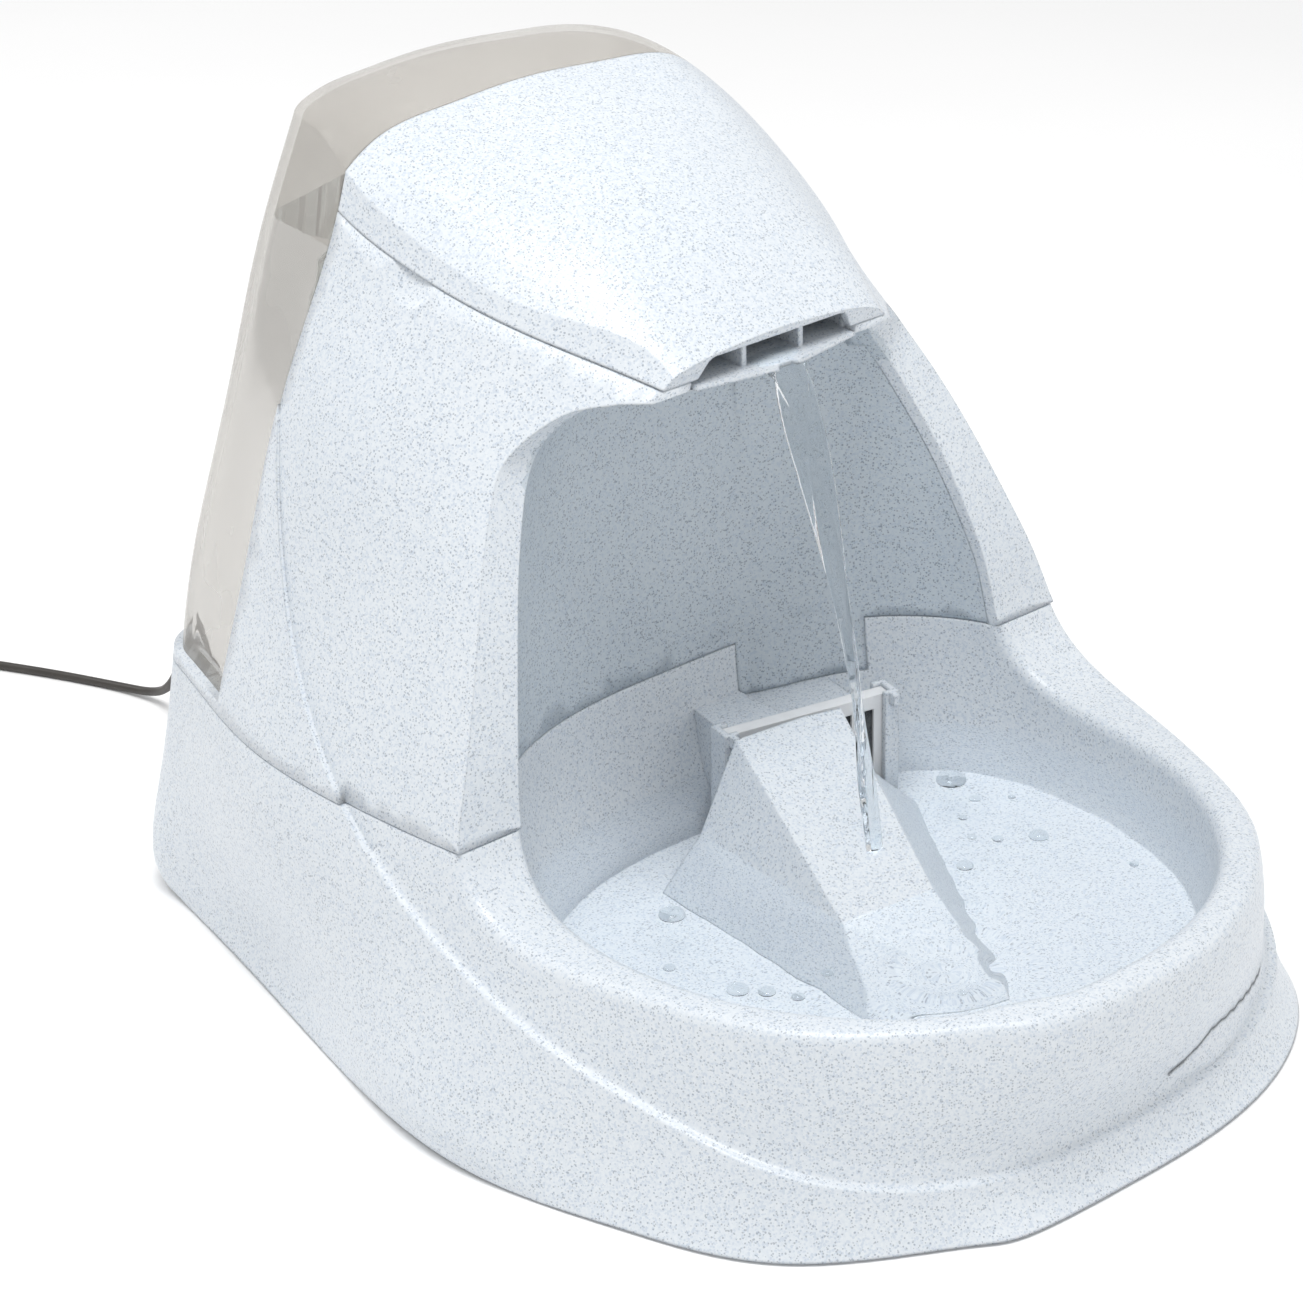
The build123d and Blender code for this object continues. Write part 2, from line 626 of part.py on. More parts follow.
def spout_tray():
    half = TRAY_HALF_WIDTH
    mouth = MOUTH_TOP[0] * SY
    outline = Polyline((-half, TRAY_BACK, 0), (half, TRAY_BACK, 0), (half, mouth + 3, 0),
                       (10, mouth - 0.7 * LIP_REACH + 2, 0), (4, mouth - LIP_REACH + 2, 0), (2.8, mouth - 1, 0),
                       (-2.8, mouth - 1, 0), (-4, mouth - LIP_REACH + 2, 0),
                       (-10, mouth - 0.7 * LIP_REACH + 2, 0), (-half, mouth + 3, 0), close=True)
    plan = extrude(Face(Wire(outline.edges())), amount=HEIGHT, dir=(0, 0, 1))
    front = mouth - 2 * LIP_REACH
    tray = plan & (tray_prism(half, front, TRAY_BACK, 0, TRAY_HEIGHT / 2)
                   + tray_prism(half, mouth + 40, TRAY_BACK, 0, TRAY_HEIGHT))
    tray -= tray_prism(half - TRAY_WALL, front, TRAY_BACK - TRAY_WALL, TRAY_FLOOR, 2 * TRAY_HEIGHT)
    for side in (1, -1):
        fin = block(side * FIN_X - FIN_THICK / 2, side * FIN_X + FIN_THICK / 2, mouth + 5, mouth + 40, 0, HEIGHT)
        tray += fin & tray_prism(half, front, TRAY_BACK, TRAY_FLOOR / 2, TRAY_FLOOR + FIN_HEIGHT)
    in_mouth = block(-WIDTH, WIDTH, -LENGTH, mouth + 2 * MOUTH_WALL + FREE_GAP, 0, HEIGHT)
    tray -= in_mouth - mouth_opening(FREE_GAP)
    return tray - post(0, RISER_Y, 0, HEIGHT, RISER_BORE + RISER_WALL + RUNNING_GAP)


def riser_tube():
    return ring(0, RISER_Y, PUMP_TOP_Z + 2, tray_z(RISER_Y) + 8, RISER_BORE + RISER_WALL, RISER_BORE)


# Top cover and reservoir ---------------------------------------------------------------------------

def mouth_opening(gap=0.0):
    """The spout's mouth through the cover's front, narrower by gap on each side."""
    bottom = TRAY_LIP_Z * SZ - 6
    low_half = MOUTH_HALF_BOTTOM + 2 - gap
    high_half = MOUTH_HALF_TOP - gap
    outline = Polyline((-low_half, 0, bottom), (low_half, 0, bottom), (high_half, 0, MOUTH_TOP_Z * SZ),
                       (-high_half, 0, MOUTH_TOP_Z * SZ), close=True)
    opening = extrude(Face(Wire(outline.edges())), amount=LENGTH / 8, dir=(0, 1, 0), both=True)
    opening = fillet(opening.edges().filter_by(Axis.Y).group_by(Axis.Z)[-1], 4)
    return Pos(0, MOUTH_TOP[0] * SY - 2, 0) * opening & block(-WIDTH, WIDTH, -LENGTH, MOUTH_TOP[0] * SY + 14, 0, HEIGHT)


def top_cover():
    cover = (outer_shape() & above_cover_seam()) - behind_tank_front() - front_cut()
    inside = column(COVER_WALL) & roof(COVER_WALL)
    inside = inside - behind_tank_front(-COVER_WALL) - front_cut(MOUTH_WALL)
    cover = cover - inside - mouth_opening()
    groove = above_cover_seam() - above_cover_seam(REVEAL_HEIGHT)
    return cover - (groove - seam_inside())


def reservoir_tank():
    shape = outer_shape() & slab(DECK_TOP_Z, 1.4 * HEIGHT) & behind_tank_front(TANK_GAP)
    inside = column(TANK_WALL) & roof(TANK_WALL) & slab(DECK_TOP_Z + TANK_WALL, 1.4 * HEIGHT)
    inside = inside & behind_tank_front(TANK_GAP + TANK_WALL)
    tank = shape - inside
    tank += post(0, NECK_Y, NECK_BOTTOM_Z, DECK_TOP_Z + TANK_WALL / 2, NECK_R)
    return tank - post(0, NECK_Y, NECK_BOTTOM_Z - 1, DECK_TOP_Z + TANK_WALL + 1, NECK_R - NECK_WALL)


CAP_FLOOR_Z = CAP_BOTTOM_Z + CAP_WALL
HEAD_Z = CAP_FLOOR_Z + VALVE_LIFT + VALVE_SEAL
BRIDGE_Z = HEAD_Z + VALVE_HEAD + SPRING_LENGTH
LEG_X = NECK_R - NECK_WALL - 1.0


def reservoir_cap():
    cap = post(0, NECK_Y, CAP_BOTTOM_Z, CAP_TOP_Z, CAP_R)
    for step in range(CAP_RIBS):
        turn = math.radians(360 / CAP_RIBS * step)
        cap += post(CAP_R * math.cos(turn), NECK_Y + CAP_R * math.sin(turn), CAP_BOTTOM_Z + 4, CAP_TOP_Z - 4, CAP_RIB_R)
    cap -= post(0, NECK_Y, CAP_FLOOR_Z, CAP_TOP_Z + 1, NECK_R + SEAT_GAP)
    cap -= post(0, NECK_Y, 0, HEIGHT, VALVE_HOLE_R)
    bridge = block(-LEG_X, LEG_X, NECK_Y - BRIDGE_HALF_WIDTH, NECK_Y + BRIDGE_HALF_WIDTH,
                   CAP_FLOOR_Z - CAP_WALL / 2, BRIDGE_Z + BRIDGE_THICK)
    bridge -= block(-LEG_X + LEG_THICK, LEG_X - LEG_THICK, NECK_Y - NECK_R, NECK_Y + NECK_R, 0, BRIDGE_Z)
    return cap + (bridge - post(0, NECK_Y, 0, HEIGHT, STEM_R + SEAT_GAP))


def cap_gasket():
    return ring(0, NECK_Y, CAP_FLOOR_Z, NECK_BOTTOM_Z - SEAT_GAP, NECK_R, NECK_R - NECK_WALL + 0.4)


def valve_plunger():
    plunger = post(0, NECK_Y, HEAD_Z, HEAD_Z + VALVE_HEAD, VALVE_HEAD_R)
    return plunger + post(0, NECK_Y, STEM_BOTTOM_Z, BRIDGE_Z + 3 * BRIDGE_THICK, STEM_R)


def valve_seal():
    return ring(0, NECK_Y, HEAD_Z - VALVE_SEAL, HEAD_Z, VALVE_HEAD_R, STEM_R + RUNNING_GAP)


def valve_spring():
    rise = SPRING_LENGTH - SPRING_WIRE - 2 * RUNNING_GAP
    path = Helix(rise / 5, rise, SPRING_R)
    wire = sweep(Plane(path @ 0, z_dir=path % 0) * Circle(SPRING_WIRE / 2), path=path)
    return Pos(0, NECK_Y, HEAD_Z + VALVE_HEAD + SPRING_WIRE / 2 + RUNNING_GAP) * wire


# Pump ----------------------------------------------------------------------------------------------

PUMP_SIDE = PUMP_X + PUMP_WIDTH / 2
SHAFT_Z = PUMP_BOTTOM_Z + PUMP_HEIGHT / 2
GUARD_HALF = PUMP_DEPTH / 2 - 4.0
GUARD_HEIGHT = PUMP_HEIGHT - 6.0


def along_x(x0, x1, y, z, radius):
    return Pos((x0 + x1) / 2, y, z) * Rot(0, 90, 0) * Cylinder(radius, x1 - x0)


def pump_body():
    body = block(PUMP_X - PUMP_WIDTH / 2, PUMP_SIDE, PUMP_Y - PUMP_DEPTH / 2, PUMP_Y + PUMP_DEPTH / 2,
                 PUMP_BOTTOM_Z, PUMP_TOP_Z)
    body = fillet(body.edges().filter_by(Axis.Z), 4)
    body += post(0, RISER_Y, PUMP_TOP_Z - 1, PUMP_TOP_Z + NOZZLE_HEIGHT, NOZZLE_R)
    body -= post(0, RISER_Y, SHAFT_Z, PUMP_TOP_Z + NOZZLE_HEIGHT + 1, NOZZLE_BORE)
    body -= along_x(PUMP_SIDE - CHAMBER_DEPTH, PUMP_SIDE + 1, PUMP_Y, SHAFT_Z, CHAMBER_R)
    body -= along_x(PUMP_SIDE - CHAMBER_DEPTH - ROTOR_LENGTH, PUMP_SIDE, PUMP_Y, SHAFT_Z, ROTOR_R + 1)
    return body


def suction_cups():
    cups = []
    for x in (-14, 14):
        for y in (-14, 14):
            cups.append(Pos(PUMP_X + x, PUMP_Y + y, WELL_FLOOR_Z + CUP_HEIGHT / 2) * Cone(CUP_R, CUP_R * 0.55, CUP_HEIGHT))
    return Compound(cups)


def shaft_bushes():
    x0 = PUMP_SIDE - CHAMBER_DEPTH - ROTOR_LENGTH
    inner = along_x(x0, x0 + 3, PUMP_Y, SHAFT_Z, ROTOR_R + 1) - along_x(x0 - 1, x0 + 4, PUMP_Y, SHAFT_Z, SHAFT_R + RUNNING_GAP)
    outer = along_x(PUMP_SIDE - 3, PUMP_SIDE, PUMP_Y, SHAFT_Z, SHAFT_R + 1.5)
    for turn in (0, 60, 120):
        outer += Pos(PUMP_SIDE - 1.5, PUMP_Y, SHAFT_Z) * Rot(turn, 0, 0) * Box(3, 2 * CHAMBER_R, 1.4)
    outer = outer & along_x(PUMP_SIDE - 4, PUMP_SIDE, PUMP_Y, SHAFT_Z, CHAMBER_R)
    outer -= along_x(PUMP_SIDE - 4, PUMP_SIDE + 1, PUMP_Y, SHAFT_Z, SHAFT_R + RUNNING_GAP)
    return Compound([inner, outer])


def impeller_shaft():
    return along_x(PUMP_SIDE - CHAMBER_DEPTH - ROTOR_LENGTH + 0.5, PUMP_SIDE - 0.5, PUMP_Y, SHAFT_Z, SHAFT_R)


def impeller():
    x0 = PUMP_SIDE - CHAMBER_DEPTH - ROTOR_LENGTH + 4
    x1 = PUMP_SIDE - CHAMBER_DEPTH + 2
    rotor = along_x(x0, x1, PUMP_Y, SHAFT_Z, ROTOR_R) + along_x(x1 - 1.5, x1, PUMP_Y, SHAFT_Z, CHAMBER_R - 1.5)
    for turn in range(0, 180, 30):
        rotor += Pos(x1 + 4.5, PUMP_Y, SHAFT_Z) * Rot(turn, 0, 0) * Box(10, 2 * (CHAMBER_R - 1.5), 1.2)
    return rotor - along_x(x0 - 1, PUMP_SIDE, PUMP_Y, SHAFT_Z, SHAFT_R + RUNNING_GAP)


def intake_guard():
    x1 = PUMP_SIDE + GUARD_DEPTH
    guard = block(PUMP_SIDE, x1, PUMP_Y - GUARD_HALF, PUMP_Y + GUARD_HALF, SHAFT_Z - GUARD_HEIGHT / 2, SHAFT_Z + GUARD_HEIGHT / 2)
    guard -= block(PUMP_SIDE - 1, x1 - GUARD_WALL, PUMP_Y - GUARD_HALF + GUARD_WALL, PUMP_Y + GUARD_HALF - GUARD_WALL,
                   SHAFT_Z - GUARD_HEIGHT / 2 + GUARD_WALL, SHAFT_Z + GUARD_HEIGHT / 2 - GUARD_WALL)
    for step in range(-3, 4):
        y = PUMP_Y + 4.4 * step
        guard -= block(x1 - 2 * GUARD_WALL, x1 + 1, y - 1.2, y + 1.2, SHAFT_Z + DIAL_R / 4, SHAFT_Z + GUARD_HEIGHT / 2 - 4)
    return guard - along_x(x1 - 2 * GUARD_WALL, x1 + 1, PUMP_Y, SHAFT_Z - DIAL_R / 2, 2 + RUNNING_GAP)


def intake_foam():
    inset = GUARD_WALL + SEAT_GAP
    return block(PUMP_SIDE + SEAT_GAP, PUMP_SIDE + GUARD_DEPTH - inset - 1, PUMP_Y - GUARD_HALF + inset, PUMP_Y + GUARD_HALF - inset,
                 SHAFT_Z - GUARD_HEIGHT / 2 + inset, SHAFT_Z + GUARD_HEIGHT / 2 - inset)


def flow_dial():
    x1 = PUMP_SIDE + GUARD_DEPTH
    dial = along_x(x1 + 0.2, x1 + 0.2 + DIAL_THICK, PUMP_Y, SHAFT_Z - DIAL_R / 2, DIAL_R)
    dial += along_x(x1 - GUARD_WALL + 0.2, x1 + 1, PUMP_Y, SHAFT_Z - DIAL_R / 2, 2)
    return dial + Pos(x1 + DIAL_THICK, PUMP_Y, SHAFT_Z - DIAL_R / 2) * Box(3, 1.6, 1.6 * DIAL_R)


# Cord ----------------------------------------------------------------------------------------------

RELIEF_WAY = Vector(-0.02, 0.93, -0.37).normalized()
CORD_TIP = CORD_EXIT + RELIEF_WAY * RELIEF_LENGTH
CORD_ROUTE = [
    CORD_TIP, CORD_TIP + RELIEF_WAY * 20, Vector(-46, 243, 54), Vector(-45, 255, 34), Vector(-42.5, 268, 15),
    Vector(-39.5, 284, 4), Vector(-44, 303, CORD_R), Vector(-55, 327, CORD_R), Vector(-68, 351.3, CORD_R),
    Vector(-84, 379, CORD_R), Vector(-104, 401, CORD_R), Vector(-125, 422, TIE_THICK + CORD_R),
]
LEAD_ROUTE = [
    Vector(PUMP_X - PUMP_WIDTH / 2, PUMP_Y, 24), Vector(-47, 76, 25), Vector(-56, 92, 34), Vector(-58, 110, 50),
    Vector(-55, 128, 66), Vector(-49, 144, 79), Vector(-44.5, 158, 86.2), Vector(CORD_X, GROMMET_INNER_Y, CORD_Z),
]
TAIL_ROUTE = [
    Vector(COIL_X - COIL_RADIUS - 1.5 * 2 * CORD_R, COIL_Y, PLUG_HALF_HEIGHT),
    Vector(-167.4, 391, PLUG_HALF_HEIGHT), Vector(-171.5, 378.5, PLUG_HALF_HEIGHT),
]


def cord_tube(name, route):
    radii = []
    for before, at, after in zip(route, route[1:], route[2:]):
        turn = (at - before).get_angle(after - at)
        radii.append(0.45 * min((at - before).length, (after - at).length) / math.tan(math.radians(turn / 2)))
    path = FilletPolyline(*route, radius=radii)
    tube = sweep(Plane(route[0], z_dir=route[1] - route[0]) * Circle(CORD_R), path=path)
    ratio = tube.volume / (math.pi * CORD_R ** 2 * path.length)
    print(name, "radii", [round(radius, 1) for radius in radii], "length", round(path.length, 1), "volume ratio", round(ratio, 4))
    return tube


def cord_grommet():
    body = Pos(CORD_X, (GROMMET_INNER_Y + CORD_EXIT.Y) / 2, CORD_Z) * Rot(90, 0, 0) * Cylinder(GROMMET_R, CORD_EXIT.Y - GROMMET_INNER_Y)
    body += Pos(CORD_X, CORD_EXIT.Y - FLANGE_THICK / 2, CORD_Z) * Rot(90, 0, 0) * Cylinder(FLANGE_R, FLANGE_THICK)
    start = CORD_EXIT - RELIEF_WAY
    low = Plane(start, z_dir=RELIEF_WAY) * Circle(GROMMET_R)
    high = Plane(CORD_TIP, z_dir=RELIEF_WAY) * Circle(CORD_R + 0.7)
    return body + loft([low, high])


def cord_coil():
    d = 2 * CORD_R
    section = RectangleRounded(COIL_ACROSS * d, COIL_HIGH * d, 0.9 * CORD_R)
    placed = Plane.XZ * Pos(COIL_RADIUS, TIE_THICK + COIL_HIGH * CORD_R, 0) * section
    return Pos(COIL_X, COIL_Y, 0) * revolve(placed, axis=Axis.Z)


def cord_tie():
    d = 2 * CORD_R
    outside = block(COIL_X + COIL_RADIUS - COIL_ACROSS * CORD_R - TIE_THICK, COIL_X + COIL_RADIUS + COIL_ACROSS * CORD_R + TIE_THICK,
                    COIL_Y - TIE_WIDTH / 2, COIL_Y + TIE_WIDTH / 2, 0, COIL_HIGH * d + 2 * TIE_THICK)
    return outside - cord_coil()


PLUG_WAY = (TAIL_ROUTE[-1] - TAIL_ROUTE[-2]).normalized()
PLUG_PLANE = Plane(TAIL_ROUTE[-1], x_dir=PLUG_WAY.cross(Vector(0, 0, 1)), z_dir=PLUG_WAY)


def plug_body():
    relief = loft([PLUG_PLANE * Circle(CORD_R + 0.8), PLUG_PLANE.offset(PLUG_RELIEF) * Circle(4.6)])
    outline = PLUG_PLANE.offset(PLUG_RELIEF - 0.5) * RectangleRounded(2 * PLUG_HALF_WIDTH, 2 * PLUG_HALF_HEIGHT, 3)
    return relief + extrude(outline, amount=PLUG_LENGTH, dir=PLUG_WAY)


def plug_pins():
    start = PLUG_PLANE.offset(PLUG_RELIEF - 0.5 + PLUG_LENGTH)
    pins = [extrude(start * Pos(side * 6.35, 0, 0) * Rectangle(1.5, 6.3), amount=17, dir=PLUG_WAY) for side in (1, -1)]
    return Compound(pins)


NODES = {
    "base_housing": base_housing,
    "base_plate": base_plate,
    "rubber_feet": rubber_feet,
    "base_screws": base_screws,
    "filter_holder": filter_holder,
    "carbon_filter_frame": carbon_filter_frame,
    "carbon_filter_pad": carbon_filter_pad,
    "receiving_ramp": receiving_ramp,
    "upper_housing": upper_housing,
    "alcove_liner": alcove_liner,
    "spout_tray": spout_tray,
    "riser_tube": riser_tube,
    "top_cover": top_cover,
    "reservoir_tank": reservoir_tank,
    "reservoir_cap": reservoir_cap,
    "cap_gasket": cap_gasket,
    "valve_plunger": valve_plunger,
    "valve_seal": valve_seal,
    "valve_spring": valve_spring,
    "pump_body": pump_body,
    "suction_cups": suction_cups,
    "shaft_bushes": shaft_bushes,
    "impeller_shaft": impeller_shaft,
    "impeller": impeller,
    "intake_guard": intake_guard,
    "intake_foam": intake_foam,
    "flow_dial": flow_dial,
    "cord_grommet": cord_grommet,
    "cord_coil": cord_coil,
    "cord_tie": cord_tie,
    "plug_body": plug_body,
    "plug_pins": plug_pins,
}
TUBES = {"power_cord": CORD_ROUTE, "pump_lead": LEAD_ROUTE, "cord_tail": TAIL_ROUTE}

os.makedirs("parts", exist_ok=True)
for node, make in NODES.items():
    save(node, make())
for node, route in TUBES.items():
    save(node, cord_tube(node, route))
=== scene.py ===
import math

import bpy
from mathutils import Matrix, Vector


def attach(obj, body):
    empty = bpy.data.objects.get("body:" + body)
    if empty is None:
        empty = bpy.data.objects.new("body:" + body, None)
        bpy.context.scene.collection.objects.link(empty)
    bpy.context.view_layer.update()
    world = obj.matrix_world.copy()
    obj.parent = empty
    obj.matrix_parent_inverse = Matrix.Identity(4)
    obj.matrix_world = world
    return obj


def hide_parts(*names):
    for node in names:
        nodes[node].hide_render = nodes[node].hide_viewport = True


# Looks of a pet water fountain: speckled housing, smoky reservoir, water, a falling stream and
# its cord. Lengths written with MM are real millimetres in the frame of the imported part. Tables of
# shapes hold plain millimetres and are turned into metres where they are used.
MM = 0.001

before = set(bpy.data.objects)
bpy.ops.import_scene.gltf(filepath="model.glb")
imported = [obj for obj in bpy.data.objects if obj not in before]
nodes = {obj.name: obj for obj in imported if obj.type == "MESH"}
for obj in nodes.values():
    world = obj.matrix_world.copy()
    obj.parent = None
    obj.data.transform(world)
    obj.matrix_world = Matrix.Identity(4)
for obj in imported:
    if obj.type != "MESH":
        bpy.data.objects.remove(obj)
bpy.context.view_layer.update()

MERGE_WITHIN = 0.002 * MM     # vertices closer than this are one

# Camera, with its angles in degrees
VIEW_AZIMUTH = 40.641
VIEW_HEIGHT = 26.133
VIEW_ROLL = -1.164
VIEW_TARGET = Vector((-8.34, 28.13, 103.06)) * MM
VIEW_DISTANCE = 1293.69 * MM
FOCAL_LENGTH = 107.28

# Water
BOWL_WATER_Z = 54.0 * MM
BOWL_FLOOR_Z = 22.0 * MM
BOWL_CENTRE_Y = -64.0 * MM
BOWL_ROUND_FRONT = 2.1        # exponents of the bowl's outline: 2 is an ellipse
BOWL_ROUND_BACK = 2.65
BOWL_STEPS = 96
BOWL_LOW = (105.4, -175.4, 13.4)       # half width, front reach, back y at the floor
BOWL_HIGH = (114.8, -181.4, 33.0)      # the same at the top of the form
BOWL_FORM_HEIGHT = 60 * MM
BOWL_FLOOR_OVERLAP = 0.4 * MM
BOWL_GRID = 170
BOWL_GRID_SIZE = 240 * MM
BOWL_GRID_Y = -76 * MM
BOWL_WATER_DEPTH = 45 * MM
LANDING = (-26 * MM, -128 * MM)        # centre of the rings on the bowl's water
RING_HEIGHT = 0.55 * MM
RING_SPACING = 2.1 * MM
RING_REACH = 26 * MM
SWELL_HEIGHT = 0.16 * MM
TANK_WATER_Z = 245.0 * MM
TANK_FLOOR_Z = 99.5 * MM
TANK_WATER_INSET = 0.15 * MM

# Where the stream runs, from the lip down to the ramp: x, y, z, width, depth, turn in degrees
STREAM_SIDES = 24
STREAM_BETWEEN = 6            # rows made out of each row below
STREAM_FLUTES = 0.12          # how far its sides swing in and out, as a share of its width
STREAM = [
    (0.0, -19, 221.4, 15, 1.6, 0),
    (0.0, -26, 220.9, 16, 2.0, 0),
    (0.2, -31, 217.5, 15, 2.6, 4),
    (0.5, -35, 206, 12, 3.0, 14),
    (0.9, -40.5, 190, 10, 3.2, 30),
    (1.4, -47.5, 166, 8.4, 3.4, 52),
    (1.9, -54, 140, 6.6, 3.6, 84),
    (2.2, -59, 117, 7.4, 3.6, 120),
    (2.4, -62.7, 93, 8.0, 3.2, 160),
    (2.6, -65.4, 76, 5.4, 3.6, 185),
    (2.8, -67.6, 62, 5.0, 4.0, 200),
]

# The skirt's upper edge in side view: y, z
SWOOSH = [(-200, 11.5), (-154, 22.5), (-117, 33), (-85, 42), (-46, 54), (-19, 64), (8, 77.5),
          (24, 88)]
BLEND_CENTRE = Vector((0, -60, 0)) * MM
BLEND_TURN = 118.0            # degrees to each side of the nose
BLEND_ROWS = 170
# The ridge over the skirt's edge, from its outer side to its foot: outwards, upwards
RIDGE = [(0.15, -1.1), (0.15, -0.2), (-0.35, 0.4), (-1.4, 0.75), (-2.5, 0.95), (-3.1, 1.5)]
BLEND_THICK = 1.2 * MM
LEDGE_ABOVE = 8 * MM          # the wall is felt for its ledge from here over its edge downwards
LEDGE_STEP = 0.25 * MM
LEDGE_STEPS = 52
LEDGE_DEPTH = 0.3 * MM        # more than this between two steps is the ledge
UNDER_EDGE = 0.6 * MM

# The recess over the bowl near its top: z, half width, back y
RECESS = [(174, 99.2, 33), (190, 95, 33), (200, 90, 31.5), (209, 80, 28), (215, 68, 21),
          (217.5, 50, 10)]
RECESS_FRONT = 115.0          # reach to the front, from the bowl's centre
PAST_RECESS = 9.0             # answer above its top, far from 1
RECESS_SIDE_Z = (190 * MM, 217.4 * MM)     # where its side takes the darker liner material, which is painted shade
RECESS_TOP_Z = (217.2 * MM, 217.8 * MM)
RECESS_TOP_HALF = 51 * MM
RECESS_NEAR = 0.06            # how far from 1 a face on its side may be
RECESS_PROBE = 0.4 * MM       # step off a face, to feel which side is inside
RECESS_TURN = 0.004           # change over that step on a face that looks in

# The liner's right half that is shaded like its left: ranges of x and z, and y from here back
RIGHT_X = (4 * MM, 62 * MM)
RIGHT_Z = (96 * MM, 205 * MM)
RIGHT_Y = 15 * MM

# Air bubbles on the bowl's water: x, y, radius
BUBBLES = [
    (-63.6, -43.6, 4.4), (-79.1, -91.8, 3.6), (-73.4, -98.8, 2.8), (-68.4, -107.4, 2.2),
    (-85.9, -67.6, 2.0), (65.7, -39.7, 5.2), (59.0, -87.0, 3.4), (27.0, -84.6, 2.9),
    (61.9, -54.7, 2.0), (49.6, -61.3, 1.5), (42.5, -72.5, 1.6), (47.7, -79.3, 1.9),
    (67.9, -121.0, 1.6), (-52.1, -103.1, 2.0), (-30.0, -140.0, 1.4), (72.0, -62.0, 1.3),
    (-92.0, -80.0, 1.5),
]
BUBBLE_FLATNESS = 0.55        # height as a share of the radius

# Cord: the points of its way in millimetres, and its coil
CORD_DIAMETER = 3.4
RELIEF_WAY = Vector((-0.02, 0.93, -0.37)).normalized()
CORD_EXIT = Vector((-44.0, 186.0, 87.0)) + RELIEF_WAY * 24.0
CORD_WAY = [
    CORD_EXIT, CORD_EXIT + RELIEF_WAY * 20, (-46, 243, 54), (-45, 255, 34), (-42.5, 268, 15),
    (-39.5, 284, 4), (-44, 303, 1.7), (-55, 327, 1.7), (-68, 351.3, 1.7), (-84, 379, 1.7),
    (-104, 401, 1.7),
]
COIL_CENTRE = (-142.4, 405.4)
COIL_LOW_Z = 2.7
COIL_INNER = 13.9
COIL_START = 43.7             # degrees, where the cord comes in
COIL_POINTS = 16              # to a turn
COIL_SHORT = 226              # degrees by which the last turn ends early
COIL_SHIFT_FROM = 0.75        # share of a turn after which it slants over to the next
# Column and layer of each turn as it is wound: along the bottom inwards, then up and down outwards
COIL_TURNS = [(3, 0), (2, 0), (1, 0), (0, 0), (0, 1), (0, 2), (1, 2), (1, 1), (2, 1), (2, 2),
              (3, 2), (3, 1)]
CORD_TAIL = [(-166.5, 405.4, 7.0), (-167.4, 391, 7), (-171.5, 378.5, 7)]

# Studio: name, place and aim in metres, size in metres, watts
LIGHTS = [
    ("key", (-0.30, -0.35, 1.6), (0, 0, 0.1), 0.7, 15),
    ("fill", (1.4, -1.1, 0.8), (0, 0, 0.1), 1.2, 3),
    ("back", (-0.6, 1.3, 1.2), (0, 0, 0.15), 0.9, 6),
]
SKY_STRENGTH = 0.68


# Shaping ----------------------------------------------------------------------------------------

def deselect():
    """Leaves nothing selected."""
    bpy.ops.object.select_all(action="DESELECT")


def only(piece):
    """Makes this the one selected and active object."""
    deselect()
    piece.select_set(True)
    bpy.context.view_layer.objects.active = piece


def named(name):
    """Names the object that was just made, and its mesh."""
    piece = bpy.context.object
    piece.name = name
    piece.data.name = name
    return piece


def settle(piece):
    """Puts the object at the origin, unturned and unscaled, with its place in its mesh."""
    only(piece)
    bpy.ops.object.transform_apply(location=True, rotation=True, scale=True)


def apply_all(piece):
    """Applies the piece's modifiers in their order."""
    only(piece)
    for modifier in list(piece.modifiers):
        bpy.ops.object.modifier_apply(modifier=modifier.name)


def edit_all(piece):
    """Goes into edit mode on this piece with all of it selected."""
    only(piece)
    bpy.ops.object.mode_set(mode="EDIT")
    bpy.ops.mesh.select_all(action="SELECT")


def face_out(piece):
    """Joins the piece's faces and turns them all outwards."""
    edit_all(piece)
    bpy.ops.mesh.remove_doubles(threshold=MERGE_WITHIN)
    bpy.ops.mesh.normals_make_consistent(inside=False)
    bpy.ops.object.mode_set(mode="OBJECT")


def thicken_down(depth):
    """Draws the selected faces of the piece in edit mode out by this much along z."""
    bpy.ops.mesh.extrude_region_move(TRANSFORM_OT_translate={"value": (0, 0, depth)})
    bpy.ops.object.mode_set(mode="OBJECT")


def smooth(piece, degrees):
    """Smooth shading, with edges sharper than this left sharp."""
    only(piece)
    bpy.ops.object.shade_smooth_by_angle(angle=math.radians(degrees))


def dress(piece, material):
    """Gives the whole piece one material."""
    piece.data.materials.clear()
    piece.data.materials.append(material)


def rounded(value, exponent):
    """A sine or cosine bent from a circle to a superellipse of this exponent."""
    return math.copysign(abs(value) ** (2 / exponent), value)


def link_new(name, data):
    """A new object with this data, in the scene."""
    piece = bpy.data.objects.new(name, data)
    bpy.context.scene.collection.objects.link(piece)
    return piece


def copy_node(node, name, keep_edges=False):
    """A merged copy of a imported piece. keep_edges keeps its sharp edges, and smooths its curves."""
    piece = link_new(name, nodes[node].data.copy())
    edit_all(piece)
    bpy.ops.mesh.remove_doubles(threshold=MERGE_WITHIN, use_sharp_edge_from_normals=keep_edges)
    bpy.ops.object.mode_set(mode="OBJECT")
    if keep_edges:
        bpy.ops.mesh.customdata_custom_splitnormals_clear()
        bpy.ops.object.shade_smooth(keep_sharp_edges=True)
    return piece


# Materials --------------------------------------------------------------------------------------

